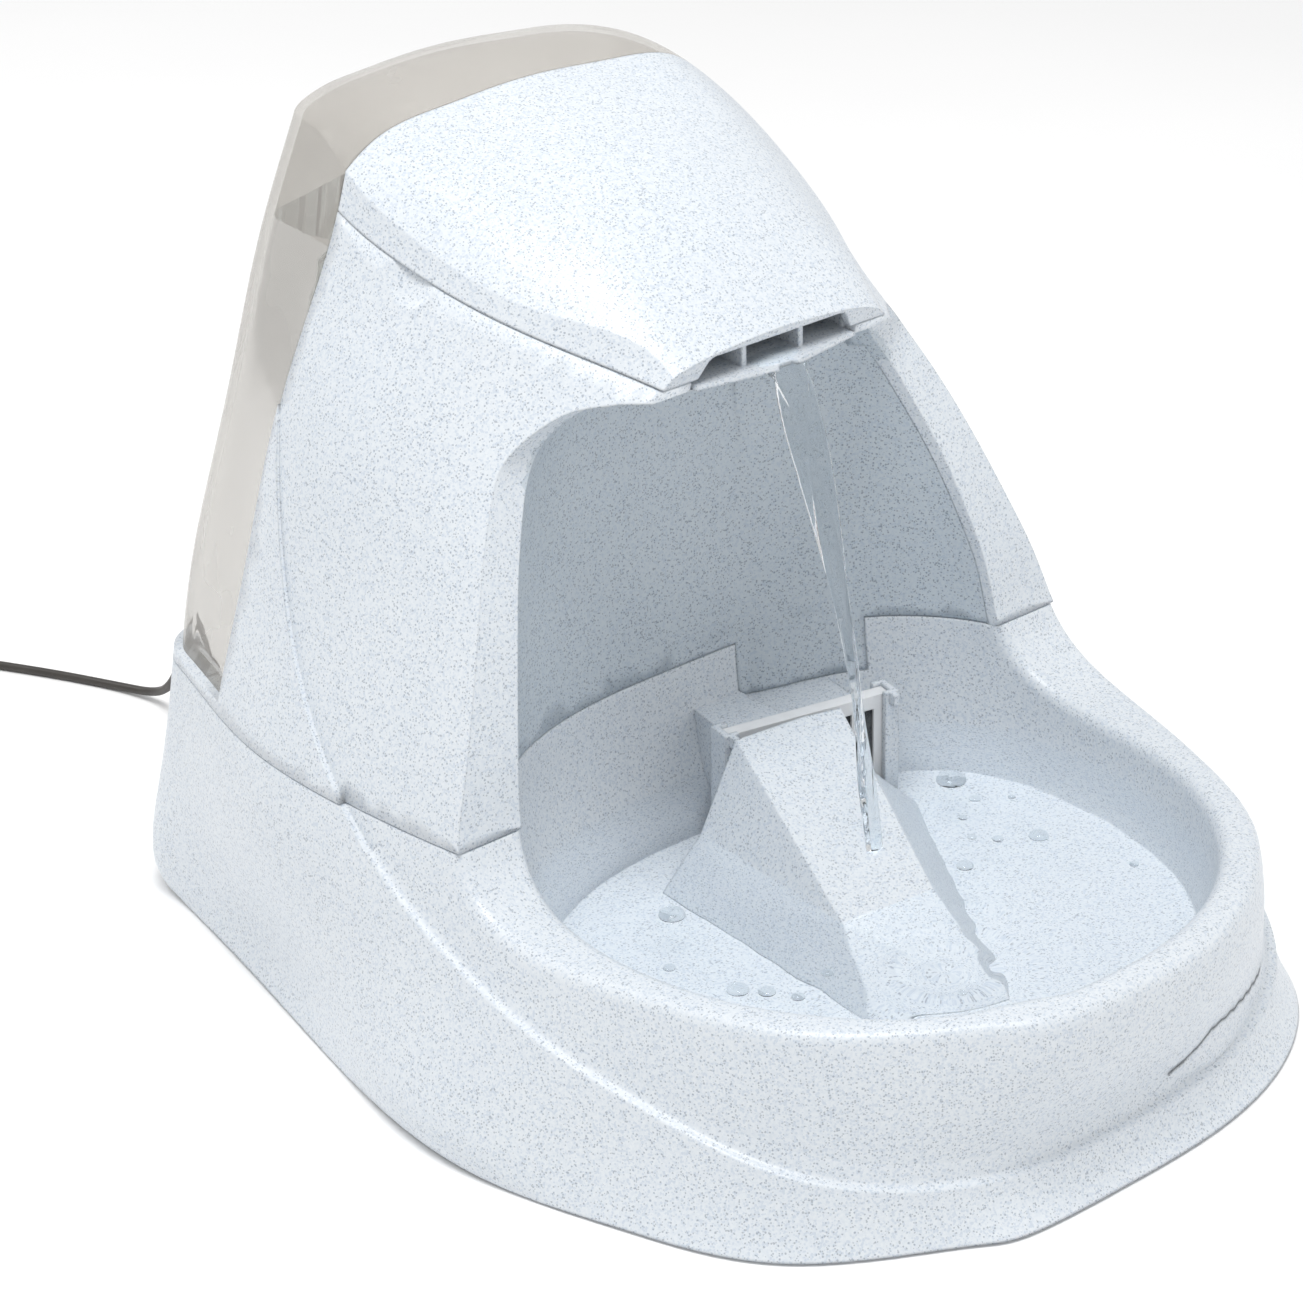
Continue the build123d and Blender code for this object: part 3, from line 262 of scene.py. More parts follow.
def new_group(name, inputs, outputs):
    """A shader node group with named sockets: returns it with its input and output nodes."""
    group = bpy.data.node_groups.new(name, "ShaderNodeTree")
    for label, kind, value in inputs:
        socket = group.interface.new_socket(name=label, in_out="INPUT", socket_type=kind)
        socket.default_value = value
    for label, kind in outputs:
        group.interface.new_socket(name=label, in_out="OUTPUT", socket_type=kind)
    return group, group.nodes.new("NodeGroupInput"), group.nodes.new("NodeGroupOutput")


def math_node(tree, operation, first, second=None, third=None):
    """A Math node fed with sockets or numbers: returns its output."""
    node = tree.nodes.new("ShaderNodeMath")
    node.operation = operation
    for socket, value in zip(node.inputs, (first, second, third)):
        if isinstance(value, (int, float)):
            socket.default_value = value
        elif value is not None:
            tree.links.new(value, socket)
    return node.outputs[0]


def map_range(tree, value, low, high, to_low=0.0, to_high=1.0):
    """Carries a value over from one range to another."""
    node = tree.nodes.new("ShaderNodeMapRange")
    node.inputs["From Min"].default_value = low
    node.inputs["From Max"].default_value = high
    node.inputs["To Min"].default_value = to_low
    node.inputs["To Max"].default_value = to_high
    tree.links.new(value, node.inputs["Value"])
    return node.outputs["Result"]


def mix_colour(tree, share, first, second):
    """A share of the second colour over the first; each is a socket or a value."""
    node = tree.nodes.new("ShaderNodeMix")
    node.data_type = "RGBA"
    colour_inputs = (node.inputs[0], node.inputs[6], node.inputs[7])
    for socket, value in zip(colour_inputs, (share, first, second)):
        if isinstance(value, (int, float, tuple)):
            socket.default_value = value
        else:
            tree.links.new(value, socket)
    return node.outputs[2]


def object_place(tree):
    """Coordinates in metres that stay with the object."""
    return tree.nodes.new("ShaderNodeTexCoord").outputs["Object"]


def noise(tree, place, scale, detail=3.0, roughness=0.55):
    """Noise whose scale is in cells per metre: returns a value of about 0.5."""
    node = tree.nodes.new("ShaderNodeTexNoise")
    node.inputs["Detail"].default_value = detail
    node.inputs["Roughness"].default_value = roughness
    tree.links.new(place, node.inputs["Vector"])
    if isinstance(scale, (int, float)):
        node.inputs["Scale"].default_value = scale
    else:
        tree.links.new(scale, node.inputs["Scale"])
    return node.outputs["Fac"]


def fleck_mask(tree, place, scale, share, radius):
    """Small irregular flecks: discs of that radius in the cells whose number is under share."""
    cells = tree.nodes.new("ShaderNodeTexVoronoi")
    tree.links.new(place, cells.inputs["Vector"])
    tree.links.new(scale, cells.inputs["Scale"])
    parts = tree.nodes.new("ShaderNodeSeparateColor")
    tree.links.new(cells.outputs["Color"], parts.inputs["Color"])
    chosen = math_node(tree, "LESS_THAN", parts.outputs["Red"], share)
    size = math_node(tree, "MULTIPLY_ADD", parts.outputs["Green"], 0.5 * radius, 0.6 * radius)
    edge = math_node(tree, "SUBTRACT", size, cells.outputs["Distance"])
    disc = map_range(tree, edge, -0.05, 0.12)
    return math_node(tree, "MULTIPLY", chosen, disc)


def make_granite_group():
    """Fine dark and bluish flecks in a pale ground, with a slow mottle."""
    group, given, result = new_group(
        "granite flecks",
        [("Ground", "NodeSocketColor", (0.7, 0.75, 0.8, 1)),
         ("Dark", "NodeSocketColor", (0.1, 0.12, 0.15, 1)),
         ("Blue", "NodeSocketColor", (0.25, 0.35, 0.5, 1)),
         ("Flecks per metre", "NodeSocketFloat", 1500.0),
         ("Dark Share", "NodeSocketFloat", 0.2), ("Blue Share", "NodeSocketFloat", 0.2),
         ("Contrast", "NodeSocketFloat", 0.4)],
        [("Color", "NodeSocketColor")])
    place = object_place(group)
    scale = given.outputs["Flecks per metre"]
    blurred = math_node(group, "MULTIPLY", scale, 0.55)
    blue_scale = math_node(group, "MULTIPLY", scale, 0.83)
    dark = fleck_mask(group, place, scale, given.outputs["Dark Share"], 0.62)
    blue = fleck_mask(group, place, blue_scale, given.outputs["Blue Share"], 0.8)
    mottle = map_range(group, noise(group, place, blurred, 2.0, 0.6), 0.38, 0.66, 0.0, 0.16)
    slow = map_range(group, noise(group, place, 22.0, 3.0), 0.3, 0.7, 0.0, 0.05)
    veil = math_node(group, "ADD", mottle, slow)
    colour = mix_colour(group, veil, given.outputs["Ground"], given.outputs["Blue"])
    blue_cover = math_node(group, "MULTIPLY", blue, 0.28)
    colour = mix_colour(group, blue_cover, colour, given.outputs["Blue"])
    dark_cover = math_node(group, "MULTIPLY", dark, given.outputs["Contrast"])
    colour = mix_colour(group, dark_cover, colour, given.outputs["Dark"])
    group.links.new(colour, result.inputs["Color"])
    return group


def make_grain_group():
    """The fine uneven skin of moulded plastic or rubber, as a height and a roughness."""
    group, given, result = new_group(
        "moulded grain",
        [("Grain per metre", "NodeSocketFloat", 1600.0), ("Roughness", "NodeSocketFloat", 0.5),
         ("Spread", "NodeSocketFloat", 0.1)],
        [("Height", "NodeSocketFloat"), ("Roughness", "NodeSocketFloat")])
    place = object_place(group)
    fine = noise(group, place, given.outputs["Grain per metre"], 3.0, 0.6)
    broad = noise(group, place, 38.0, 4.0, 0.6)
    swing = math_node(group, "SUBTRACT", broad, 0.5)
    rough = math_node(group, "MULTIPLY_ADD", swing, given.outputs["Spread"],
                      given.outputs["Roughness"])
    fine_swing = math_node(group, "SUBTRACT", fine, 0.5)
    rough = math_node(group, "MULTIPLY_ADD", fine_swing, given.outputs["Spread"], rough)
    group.links.new(fine, result.inputs["Height"])
    group.links.new(rough, result.inputs["Roughness"])
    return group


GRANITE = make_granite_group()
GRAIN = make_grain_group()


def node_of(tree, kind):
    """The first node of this kind."""
    return next(node for node in tree.nodes if node.type == kind)


def new_material(name):
    """A new material: returns it with its node tree and its one Principled shader."""
    material = bpy.data.materials.new(name)
    material.use_nodes = True
    tree = material.node_tree
    return material, tree, node_of(tree, "BSDF_PRINCIPLED")


def colour_wander(tree, shader, place, scale, detail, low, high):
    """Lets the shader's colour wander between low and high."""
    wander = map_range(tree, noise(tree, place, scale, detail), 0.3, 0.7)
    tree.links.new(mix_colour(tree, wander, low, high), shader.inputs["Base Color"])


def choose_shader(tree, share, first, second):
    """Shows a share of the second shader over the first on the surface."""
    either = tree.nodes.new("ShaderNodeMixShader")
    tree.links.new(share, either.inputs[0])
    tree.links.new(first.outputs[0], either.inputs[1])
    tree.links.new(second.outputs[0], either.inputs[2])
    output = node_of(tree, "OUTPUT_MATERIAL")
    tree.links.new(either.outputs[0], output.inputs["Surface"])


def add_group(tree, group, **values):
    """Adds a node group; its inputs are given by name, with _ for a space."""
    node = tree.nodes.new("ShaderNodeGroup")
    node.node_tree = group
    for label, value in values.items():
        node.inputs[label.replace("_", " ")].default_value = value
    return node


def add_grain(tree, shader, per_metre, roughness, spread, depth, edge=0.0):
    """Gives a shader its skin: roughness, fine bumps and, if edge is set, softened edges."""
    grain = add_group(tree, GRAIN, Grain_per_metre=per_metre, Roughness=roughness, Spread=spread)
    tree.links.new(grain.outputs["Roughness"], shader.inputs["Roughness"])
    bump = tree.nodes.new("ShaderNodeBump")
    bump.inputs["Strength"].default_value = 0.5
    bump.inputs["Distance"].default_value = depth
    tree.links.new(grain.outputs["Height"], bump.inputs["Height"])
    if edge:
        bevel = tree.nodes.new("ShaderNodeBevel")
        bevel.samples = 6
        bevel.inputs["Radius"].default_value = edge
        tree.links.new(bevel.outputs["Normal"], bump.inputs["Normal"])
    tree.links.new(bump.outputs["Normal"], shader.inputs["Normal"])


def speckled_plastic(name, ground, dark_share, blue_share, contrast, edge):
    """Satin moulded plastic with granite flecks. edge is how far its edges look rounded."""
    material, tree, shader = new_material(name)
    flecks = add_group(tree, GRANITE, Ground=ground, Dark=(0.10, 0.13, 0.18, 1),
                       Blue=(0.30, 0.39, 0.52, 1), Flecks_per_metre=1650.0,
                       Dark_Share=dark_share, Blue_Share=blue_share, Contrast=contrast)
    tree.links.new(flecks.outputs["Color"], shader.inputs["Base Color"])
    add_grain(tree, shader, 1100.0, 0.36, 0.12, 0.03 * MM, edge)
    shader.inputs["IOR"].default_value = 1.48
    return material


def plain_plastic(name, low, high, per_metre, roughness, edge=0.4 * MM):
    """Moulded plastic or rubber whose colour wanders a little between low and high."""
    material, tree, shader = new_material(name)
    colour_wander(tree, shader, object_place(tree), 140.0, 4.0, low, high)
    add_grain(tree, shader, per_metre, roughness, 0.15, 0.04 * MM, edge)
    return material


def metal(name, low, high, roughness):
    """Metal with a fine grain and slightly worn edges."""
    material = plain_plastic(name, low, high, 2600.0, roughness, 0.2 * MM)
    node_of(material.node_tree, "BSDF_PRINCIPLED").inputs["Metallic"].default_value = 1.0
    return material


def clear_material(name, low, high, roughness, ior, shadow):
    """Clear plastic or water. Light from the lamps passes through it, tinted by shadow."""
    material, tree, shader = new_material(name)
    place = object_place(tree)
    colour_wander(tree, shader, place, 30.0, 3.0, low, high)
    rough = map_range(tree, noise(tree, place, 160.0, 3.0), 0.3, 0.7,
                      0.7 * roughness, 1.4 * roughness)
    tree.links.new(rough, shader.inputs["Roughness"])
    shader.inputs["Transmission Weight"].default_value = 1.0
    shader.inputs["IOR"].default_value = ior
    lamp_ray = tree.nodes.new("ShaderNodeLightPath").outputs["Is Shadow Ray"]
    through = tree.nodes.new("ShaderNodeBsdfTransparent")
    through.inputs["Color"].default_value = shadow
    choose_shader(tree, lamp_ray, shader, through)
    return material


def smoky_plastic(name, low, high, thin, edge):
    """Tinted see-through plastic: the share thin of it is solid seen face on, and edge side on."""
    material, tree, shader = new_material(name)
    place = object_place(tree)
    colour_wander(tree, shader, place, 18.0, 4.0, low, high)
    rough = map_range(tree, noise(tree, place, 120.0, 3.0), 0.3, 0.7, 0.10, 0.22)
    tree.links.new(rough, shader.inputs["Roughness"])
    facing = tree.nodes.new("ShaderNodeLayerWeight")
    facing.inputs["Blend"].default_value = 0.35
    streaks = map_range(tree, noise(tree, place, 9.0, 3.0), 0.35, 0.65, -0.06, 0.06)
    tint = map_range(tree, facing.outputs["Facing"], 0.2, 1.0, thin, edge)
    share = math_node(tree, "ADD", tint, streaks)
    clear = tree.nodes.new("ShaderNodeBsdfTransparent")
    clear.inputs["Color"].default_value = (0.95, 0.945, 0.93, 1)
    choose_shader(tree, share, clear, shader)
    return material


def add_ripple(material, scale, depth):
    """Uneven relief on a clear material, as in thin water or blown plastic."""
    tree = material.node_tree
    bump = tree.nodes.new("ShaderNodeBump")
    bump.inputs["Strength"].default_value = 1.0
    bump.inputs["Distance"].default_value = depth
    tree.links.new(noise(tree, object_place(tree), scale, 2.0, 0.4), bump.inputs["Height"])
    tree.links.new(bump.outputs["Normal"], node_of(tree, "BSDF_PRINCIPLED").inputs["Normal"])


def weave_material(name, low, high, scale):
    """Filter cloth or foam: a close net of fibres or cells."""
    material, tree, shader = new_material(name)
    cells = tree.nodes.new("ShaderNodeTexVoronoi")
    cells.feature = "DISTANCE_TO_EDGE"
    cells.inputs["Scale"].default_value = scale
    tree.links.new(object_place(tree), cells.inputs["Vector"])
    net = map_range(tree, cells.outputs["Distance"], 0.0, 0.25)
    tree.links.new(mix_colour(tree, net, high, low), shader.inputs["Base Color"])
    bump = tree.nodes.new("ShaderNodeBump")
    bump.inputs["Distance"].default_value = 0.3 * MM
    tree.links.new(net, bump.inputs["Height"])
    bump.invert = True
    tree.links.new(bump.outputs["Normal"], shader.inputs["Normal"])
    shader.inputs["Roughness"].default_value = 0.95
    return material


HOUSING = speckled_plastic("speckled housing", (0.69, 0.725, 0.755, 1), 0.18, 0.32, 0.46,
                           1.2 * MM)
# The liner's darker ground and stronger flecks are painted shade, for the alcove and the recess over
# the bowl.
HOUSING_IN_PAINTED_SHADE = speckled_plastic("speckled housing, painted shade", (0.56, 0.61, 0.645, 1), 0.24, 0.34, 0.55, 0.5 * MM)
SMOKY = smoky_plastic("smoky tank", (0.52, 0.495, 0.465, 1), (0.58, 0.56, 0.53, 1), 0.24, 0.7)
TANK_WATER = clear_material("tank water", (0.50, 0.66, 0.72, 1), (0.93, 0.94, 0.93, 1),
                            0.02, 1.25, (0.95, 0.97, 0.98, 1))
BOWL_WATER = clear_material("bowl water", (0.955, 0.97, 0.98, 1), (0.97, 0.98, 0.985, 1),
                            0.01, 1.33, (0.97, 0.98, 0.985, 1))
FALLING_WATER = clear_material("falling water", (0.84, 0.87, 0.89, 1), (0.93, 0.95, 0.96, 1),
                               0.02, 1.33, (0.82, 0.85, 0.87, 1))
RUBBER = plain_plastic("black rubber", (0.018, 0.018, 0.018, 1), (0.03, 0.03, 0.03, 1),
                       900.0, 0.75)
BLACK = plain_plastic("black plastic", (0.02, 0.021, 0.022, 1), (0.032, 0.033, 0.035, 1),
                      1500.0, 0.45)
WHITE = plain_plastic("white plastic", (0.72, 0.73, 0.74, 1), (0.78, 0.79, 0.8, 1),
                      1500.0, 0.42)
JACKET = plain_plastic("cord jacket", (0.035, 0.03, 0.026, 1), (0.05, 0.045, 0.04, 1),
                       1200.0, 0.42, 0.0)
STEEL = metal("steel", (0.5, 0.5, 0.5, 1), (0.62, 0.62, 0.61, 1), 0.3)
BRASS = metal("brass", (0.68, 0.5, 0.22, 1), (0.78, 0.6, 0.3, 1), 0.28)
CLOTH = weave_material("filter cloth", (0.05, 0.055, 0.06, 1), (0.11, 0.12, 0.125, 1), 900.0)
FOAM = weave_material("foam", (0.04, 0.04, 0.045, 1), (0.12, 0.12, 0.13, 1), 700.0)
add_ripple(FALLING_WATER, 110.0, 1.4 * MM)
add_ripple(TANK_WATER, 26.0, 1.2 * MM)
add_ripple(BOWL_WATER, 60.0, 0.25 * MM)

FINISHES = {
    "base_housing": HOUSING, "base_plate": HOUSING, "upper_housing": HOUSING,
    "top_cover": HOUSING, "filter_holder": HOUSING, "receiving_ramp": HOUSING,
    # The alcove liner takes the darker housing material, which is painted shade.
    "spout_tray": HOUSING, "alcove_liner": HOUSING_IN_PAINTED_SHADE, "rubber_feet": RUBBER, "base_screws": STEEL,
    "carbon_filter_frame": WHITE, "carbon_filter_pad": CLOTH, "riser_tube": WHITE,
    "reservoir_tank": SMOKY, "reservoir_cap": WHITE, "cap_gasket": RUBBER,
    "valve_plunger": WHITE, "valve_seal": RUBBER, "valve_spring": STEEL, "pump_body": BLACK,
    "suction_cups": RUBBER, "shaft_bushes": RUBBER, "impeller_shaft": STEEL,
    "impeller": BLACK, "intake_guard": BLACK, "intake_foam": FOAM, "flow_dial": BLACK,
    "cord_grommet": RUBBER, "cord_coil": JACKET, "cord_tie": RUBBER, "plug_body": JACKET,
    "plug_pins": BRASS, "power_cord": JACKET, "pump_lead": JACKET, "cord_tail": JACKET,
}


def finish_nodes():
    """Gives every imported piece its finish."""
    for name, material in FINISHES.items():
        for place in nodes[name].material_slots:
            place.material = material


# Water in the bowl ------------------------------------------------------------------------------

def bowl_outline(half, front, back):
    """The bowl's outline at one level, as x and y in metres."""
    points = []
    for step in range(BOWL_STEPS):
        turn = 2 * math.pi * step / BOWL_STEPS
        ahead = math.sin(turn) < 0
        roundness = BOWL_ROUND_FRONT if ahead else BOWL_ROUND_BACK
        reach = BOWL_CENTRE_Y - front * MM if ahead else back * MM - BOWL_CENTRE_Y
        points.append((half * MM * rounded(math.cos(turn), roundness),
                       BOWL_CENTRE_Y + reach * rounded(math.sin(turn), roundness)))
    return points


def ripple_height(x, y):
    """How far the bowl's water stands above its level at this place."""
    landing = math.hypot(x - LANDING[0], y - LANDING[1])
    height = RING_HEIGHT * math.sin(landing / RING_SPACING) * math.exp(-landing / RING_REACH)
    swell = math.sin(x * 95 + 2.1 * math.sin(y * 70)) * math.sin(y * 82 + 1.3 * math.sin(x * 60))
    return height + SWELL_HEIGHT * swell


def make_bowl_form():
    """The bowl's inside as a closed solid, to cut the water with."""
    deselect()
    bpy.ops.mesh.primitive_circle_add(vertices=BOWL_STEPS, fill_type="NGON", radius=1.0)
    form = named("bowl_form")
    for vertex, (x, y) in zip(form.data.vertices, bowl_outline(*BOWL_LOW)):
        vertex.co = (x, y, BOWL_FLOOR_Z - BOWL_FLOOR_OVERLAP)
    edit_all(form)
    thicken_down(BOWL_FORM_HEIGHT)
    upper = [vertex for vertex in form.data.vertices
             if vertex.co.z > BOWL_FLOOR_Z + BOWL_FORM_HEIGHT / 2]
    for vertex, (x, y) in zip(upper, bowl_outline(*BOWL_HIGH)):
        vertex.co.x = x
        vertex.co.y = y
    face_out(form)
    return form


def make_bowl_water():
    """The bowl's water as a closed solid: a rippled grid thickened down and cut to the bowl."""
    form = make_bowl_form()
    deselect()
    bpy.ops.mesh.primitive_grid_add(x_subdivisions=BOWL_GRID, y_subdivisions=BOWL_GRID,
                                    size=BOWL_GRID_SIZE, location=(0, BOWL_GRID_Y, 0))
    water = named("bowl_water")
    settle(water)
    for vertex in water.data.vertices:
        vertex.co.z = BOWL_WATER_Z + ripple_height(vertex.co.x, vertex.co.y)
    edit_all(water)
    thicken_down(-BOWL_WATER_DEPTH)
    face_out(water)
    cut = water.modifiers.new("cut", "BOOLEAN")
    cut.operation = "INTERSECT"
    cut.solver = "EXACT"
    cut.object = form
    apply_all(water)
    bpy.data.objects.remove(form)
    smooth(water, 50)
    dress(water, BOWL_WATER)
    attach(water, "base")


# Liner, hood and skirt --------------------------------------------------------------------------

def make_liner():
    """The alcove's liner with its faces joined, its right half shaded as evenly as its left."""
    liner = copy_node("alcove_liner", "liner_skin", keep_edges=True)
    form = copy_node("alcove_liner", "liner_form")
    for vertex in form.data.vertices:
        vertex.co.x = -vertex.co.x
    edit_all(form)
    bpy.ops.mesh.flip_normals()
    bpy.ops.object.mode_set(mode="OBJECT")
    smooth(form, 30)
    right = liner.vertex_groups.new(name="right")
    right.add([vertex.index for vertex in liner.data.vertices
               if RIGHT_X[0] < vertex.co.x < RIGHT_X[1] and RIGHT_Z[0] < vertex.co.z < RIGHT_Z[1]
               and vertex.co.y > RIGHT_Y], 1.0, "REPLACE")
    taken = liner.modifiers.new("normals", "DATA_TRANSFER")
    taken.object = form
    taken.use_loop_data = True
    taken.data_types_loops = {"CUSTOM_NORMAL"}
    taken.loop_mapping = "POLYINTERP_NEAREST"
    taken.vertex_group = "right"
    apply_all(liner)
    bpy.data.objects.remove(form)
    # Darker housing material: painted shade on the alcove.
    dress(liner, HOUSING_IN_PAINTED_SHADE)
    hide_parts("alcove_liner")
    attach(liner, "upper")


def swoosh_z(y):
    """Height of the skirt's upper edge at this y, in metres."""
    for (y0, z0), (y1, z1) in zip(SWOOSH, SWOOSH[1:]):
        if y <= y1 * MM:
            share = (y / MM - y0) / (y1 - y0)
            share = max(share, 0.0)
            return (z0 + (z1 - z0) * share) * MM
    return SWOOSH[-1][1] * MM


def outward(turn):
    """The level direction at this turn from the nose."""
    return Vector((math.sin(turn), -math.cos(turn), 0))


def wall_hit(shell, turn, z):
    """Where the base's outside lies in that direction at that height."""
    way = outward(turn)
    start = BLEND_CENTRE + way * 0.4
    start.z = z
    return shell.ray_cast(start, -way)[1]


def ledge_ends(shell, turn):
    """The outer and inner end of the skirt's ledge in that direction, as heights."""
    z = 30 * MM
    for _ in range(5):
        z = swoosh_z(wall_hit(shell, turn, z - UNDER_EDGE).y)
    heights = [z + LEDGE_ABOVE - LEDGE_STEP * index for index in range(LEDGE_STEPS)]
    reach = [(wall_hit(shell, turn, height) - BLEND_CENTRE).to_2d().length for height in heights]
    steep = [index for index in range(LEDGE_STEPS - 1)
             if reach[index + 1] - reach[index] > LEDGE_DEPTH]
    if not steep:
        return z, z
    return heights[steep[-1] + 1], heights[steep[0]]


def ridge_profile(shell, turn):
    """The ridge's section in that direction, from the wall under it to the wall above it."""
    way = outward(turn)
    outer, inner = ledge_ends(shell, turn)
    edge = wall_hit(shell, turn, outer - 0.1 * MM)
    under = wall_hit(shell, turn, outer - 3.5 * MM) - way * 0.35 * MM
    top = wall_hit(shell, turn, inner + 8 * MM) - way * 0.3 * MM
    profile = [under]
    for out, rise in RIDGE:
        place = edge + way * out * MM
        place.z = outer + rise * MM
        profile.append(place)
    foot = profile[-1]
    low = foot.lerp(top, 0.15) - way * 0.25 * MM
    middle = foot.lerp(top, 0.5) - way * 0.15 * MM
    return profile + [low, middle, top]


def make_skirt_blend():
    """The crisp ridge where the skirt ends, and the wall's foot behind it."""
    shell = copy_node("base_housing", "base_form")
    last_row = BLEND_ROWS - 1
    profiles = []
    for row in range(BLEND_ROWS):
        turn = math.radians(-BLEND_TURN + 2 * BLEND_TURN * row / last_row)
        profiles.append(ridge_profile(shell, turn))
    bpy.data.objects.remove(shell)
    last_line = len(profiles[0]) - 1
    deselect()
    bpy.ops.mesh.primitive_grid_add(x_subdivisions=last_row, y_subdivisions=last_line, size=1.0)
    band = named("skirt_ridge")
    for vertex in band.data.vertices:
        row = round((vertex.co.x + 0.5) * last_row)
        line = round((vertex.co.y + 0.5) * last_line)
        vertex.co = profiles[row][line]
    face_out(band)
    thick = band.modifiers.new("thickness", "SOLIDIFY")
    thick.thickness = BLEND_THICK
    thick.offset = -1.0
    apply_all(band)
    smooth(band, 50)
    dress(band, HOUSING)
    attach(band, "base")


def recess_share(place):
    """1 on the skin of the recess over the bowl, less inside it; place in metres."""
    z = place[2] / MM
    for (z0, half0, back0), (z1, half1, back1) in zip(RECESS, RECESS[1:]):
        if z <= z1:
            share = max((z - z0) / (z1 - z0), 0.0)
            half = half0 + (half1 - half0) * share
            back = back0 + (back1 - back0) * share
            break
    else:
        return PAST_RECESS
    along = place[1] / MM - BOWL_CENTRE_Y / MM
    reach = back - BOWL_CENTRE_Y / MM if along > 0 else RECESS_FRONT
    roundness = BOWL_ROUND_BACK if along > 0 else BOWL_ROUND_FRONT
    return (abs(place[0] / MM) / half) ** roundness + (abs(along) / reach) ** roundness


def in_recess(face):
    """Whether a face of the hood lies on the recess: on its flat top, or on its side facing in."""
    place, normal = face.center, face.normal
    at_top = RECESS_TOP_Z[0] < place.z < RECESS_TOP_Z[1] and abs(place.x) < RECESS_TOP_HALF
    if at_top and normal.z < -0.9:
        return True
    here = recess_share(place)
    at_side = RECESS_SIDE_Z[0] <= place.z <= RECESS_SIDE_Z[1] and abs(here - 1) <= RECESS_NEAR
    return at_side and here - recess_share(place + normal * RECESS_PROBE) > RECESS_TURN


def make_hood():
    """The upper housing with its faces joined, and its recess in the darker liner material: painted
    shade.
    """
    hood = copy_node("upper_housing", "hood_skin", keep_edges=True)
    dress(hood, HOUSING)
    hood.data.materials.append(HOUSING_IN_PAINTED_SHADE)
    # Faces on the recess, its downward-facing top included, take the darker material: painted shade.
    for face in hood.data.polygons:
        face.material_index = 1 if in_recess(face) else 0
    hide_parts("upper_housing")
    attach(hood, "upper")


# Water in the tank and out of the spout ---------------------------------------------------------

def make_tank_water():
    """The reservoir's water: the tank's inner skin, cut at the level and closed."""
    edit_all(copy_node("reservoir_tank", "tank_water"))
    bpy.ops.mesh.bisect(plane_co=(0, 0, TANK_FLOOR_Z), plane_no=(0, 0, 1), clear_inner=True)
    bpy.ops.mesh.select_all(action="SELECT")
    bpy.ops.mesh.bisect(plane_co=(0, 0, TANK_WATER_Z), plane_no=(0, 0, 1), clear_outer=True)
    bpy.ops.mesh.select_all(action="SELECT")
    bpy.ops.mesh.separate(type="LOOSE")
    bpy.ops.object.mode_set(mode="OBJECT")
    skins = list(bpy.context.selected_objects)
    water = min(skins, key=lambda skin: max(abs(vertex.co.x) for vertex in skin.data.vertices)
                + max(vertex.co.y for vertex in skin.data.vertices))
    for skin in skins:
        if skin != water:
            bpy.data.objects.remove(skin)
    water.name = "tank_water"
    edit_all(water)
    bpy.ops.mesh.region_to_loop()
    bpy.ops.mesh.fill()
    bpy.ops.object.mode_set(mode="OBJECT")
    face_out(water)
    shrink = water.modifiers.new("inset", "DISPLACE")
    shrink.strength = -TANK_WATER_INSET
    shrink.mid_level = 0.0
    apply_all(water)
    smooth(water, 30)
    dress(water, TANK_WATER)
    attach(water, "reservoir")


def refine(rows, times):
    """More rows between the given ones, on a smooth line through them."""
    found = []
    for index in range(len(rows) - 1):
        before, start = rows[max(index - 1, 0)], rows[index]
        end, after = rows[index + 1], rows[min(index + 2, len(rows) - 1)]
        for step in range(times):
            t = step / times
            found.append(tuple(
                0.5 * (2 * b + (c - a) * t + (2 * a - 5 * b + 4 * c - d) * t * t
                       + (3 * b - a - 3 * c + d) * t ** 3)
                for a, b, c, d in zip(before, start, end, after)))
    return found + [tuple(rows[-1])]


def make_stream():
    """The falling water: an oval that runs down its way, narrows and turns as it falls."""
    deselect()
    bpy.ops.mesh.primitive_circle_add(vertices=STREAM_SIDES, radius=0.5 * MM, fill_type="NGON")
    stream = named("falling_stream")
    rows = refine(STREAM, STREAM_BETWEEN)
    bpy.ops.object.mode_set(mode="EDIT")
    for _ in rows[1:]:
        bpy.ops.mesh.extrude_region_move(TRANSFORM_OT_translate={"value": (0, 0, 1 * MM)})
    bpy.ops.object.mode_set(mode="OBJECT")
    across = Vector((1, 0, 0))
    for vertex in stream.data.vertices:
        index = round(vertex.co.z / MM)
        x, y, z, width, depth, turn = rows[index]
        before, after = rows[max(index - 1, 0)], rows[min(index + 1, len(rows) - 1)]
        ahead = Vector(after[:3]) - Vector(before[:3])
        ahead.normalize()
        over = ahead.cross(across).normalized()
        angle = math.atan2(vertex.co.y, vertex.co.x)
        local = Vector((math.cos(angle) * width / 2, math.sin(angle) * depth / 2, 0))
        local.x += STREAM_FLUTES * width * math.sin(3 * angle + index * 0.35)
        local = Matrix.Rotation(math.radians(turn), 3, "Z") @ local
        vertex.co = (Vector((x, y, z)) + across * local.x + over * local.y) * MM
    face_out(stream)
    finer = stream.modifiers.new("round", "SUBSURF")
    finer.levels = 1
    finer.render_levels = 1
    apply_all(stream)
    smooth(stream, 80)
    dress(stream, FALLING_WATER)
    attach(stream, "upper")


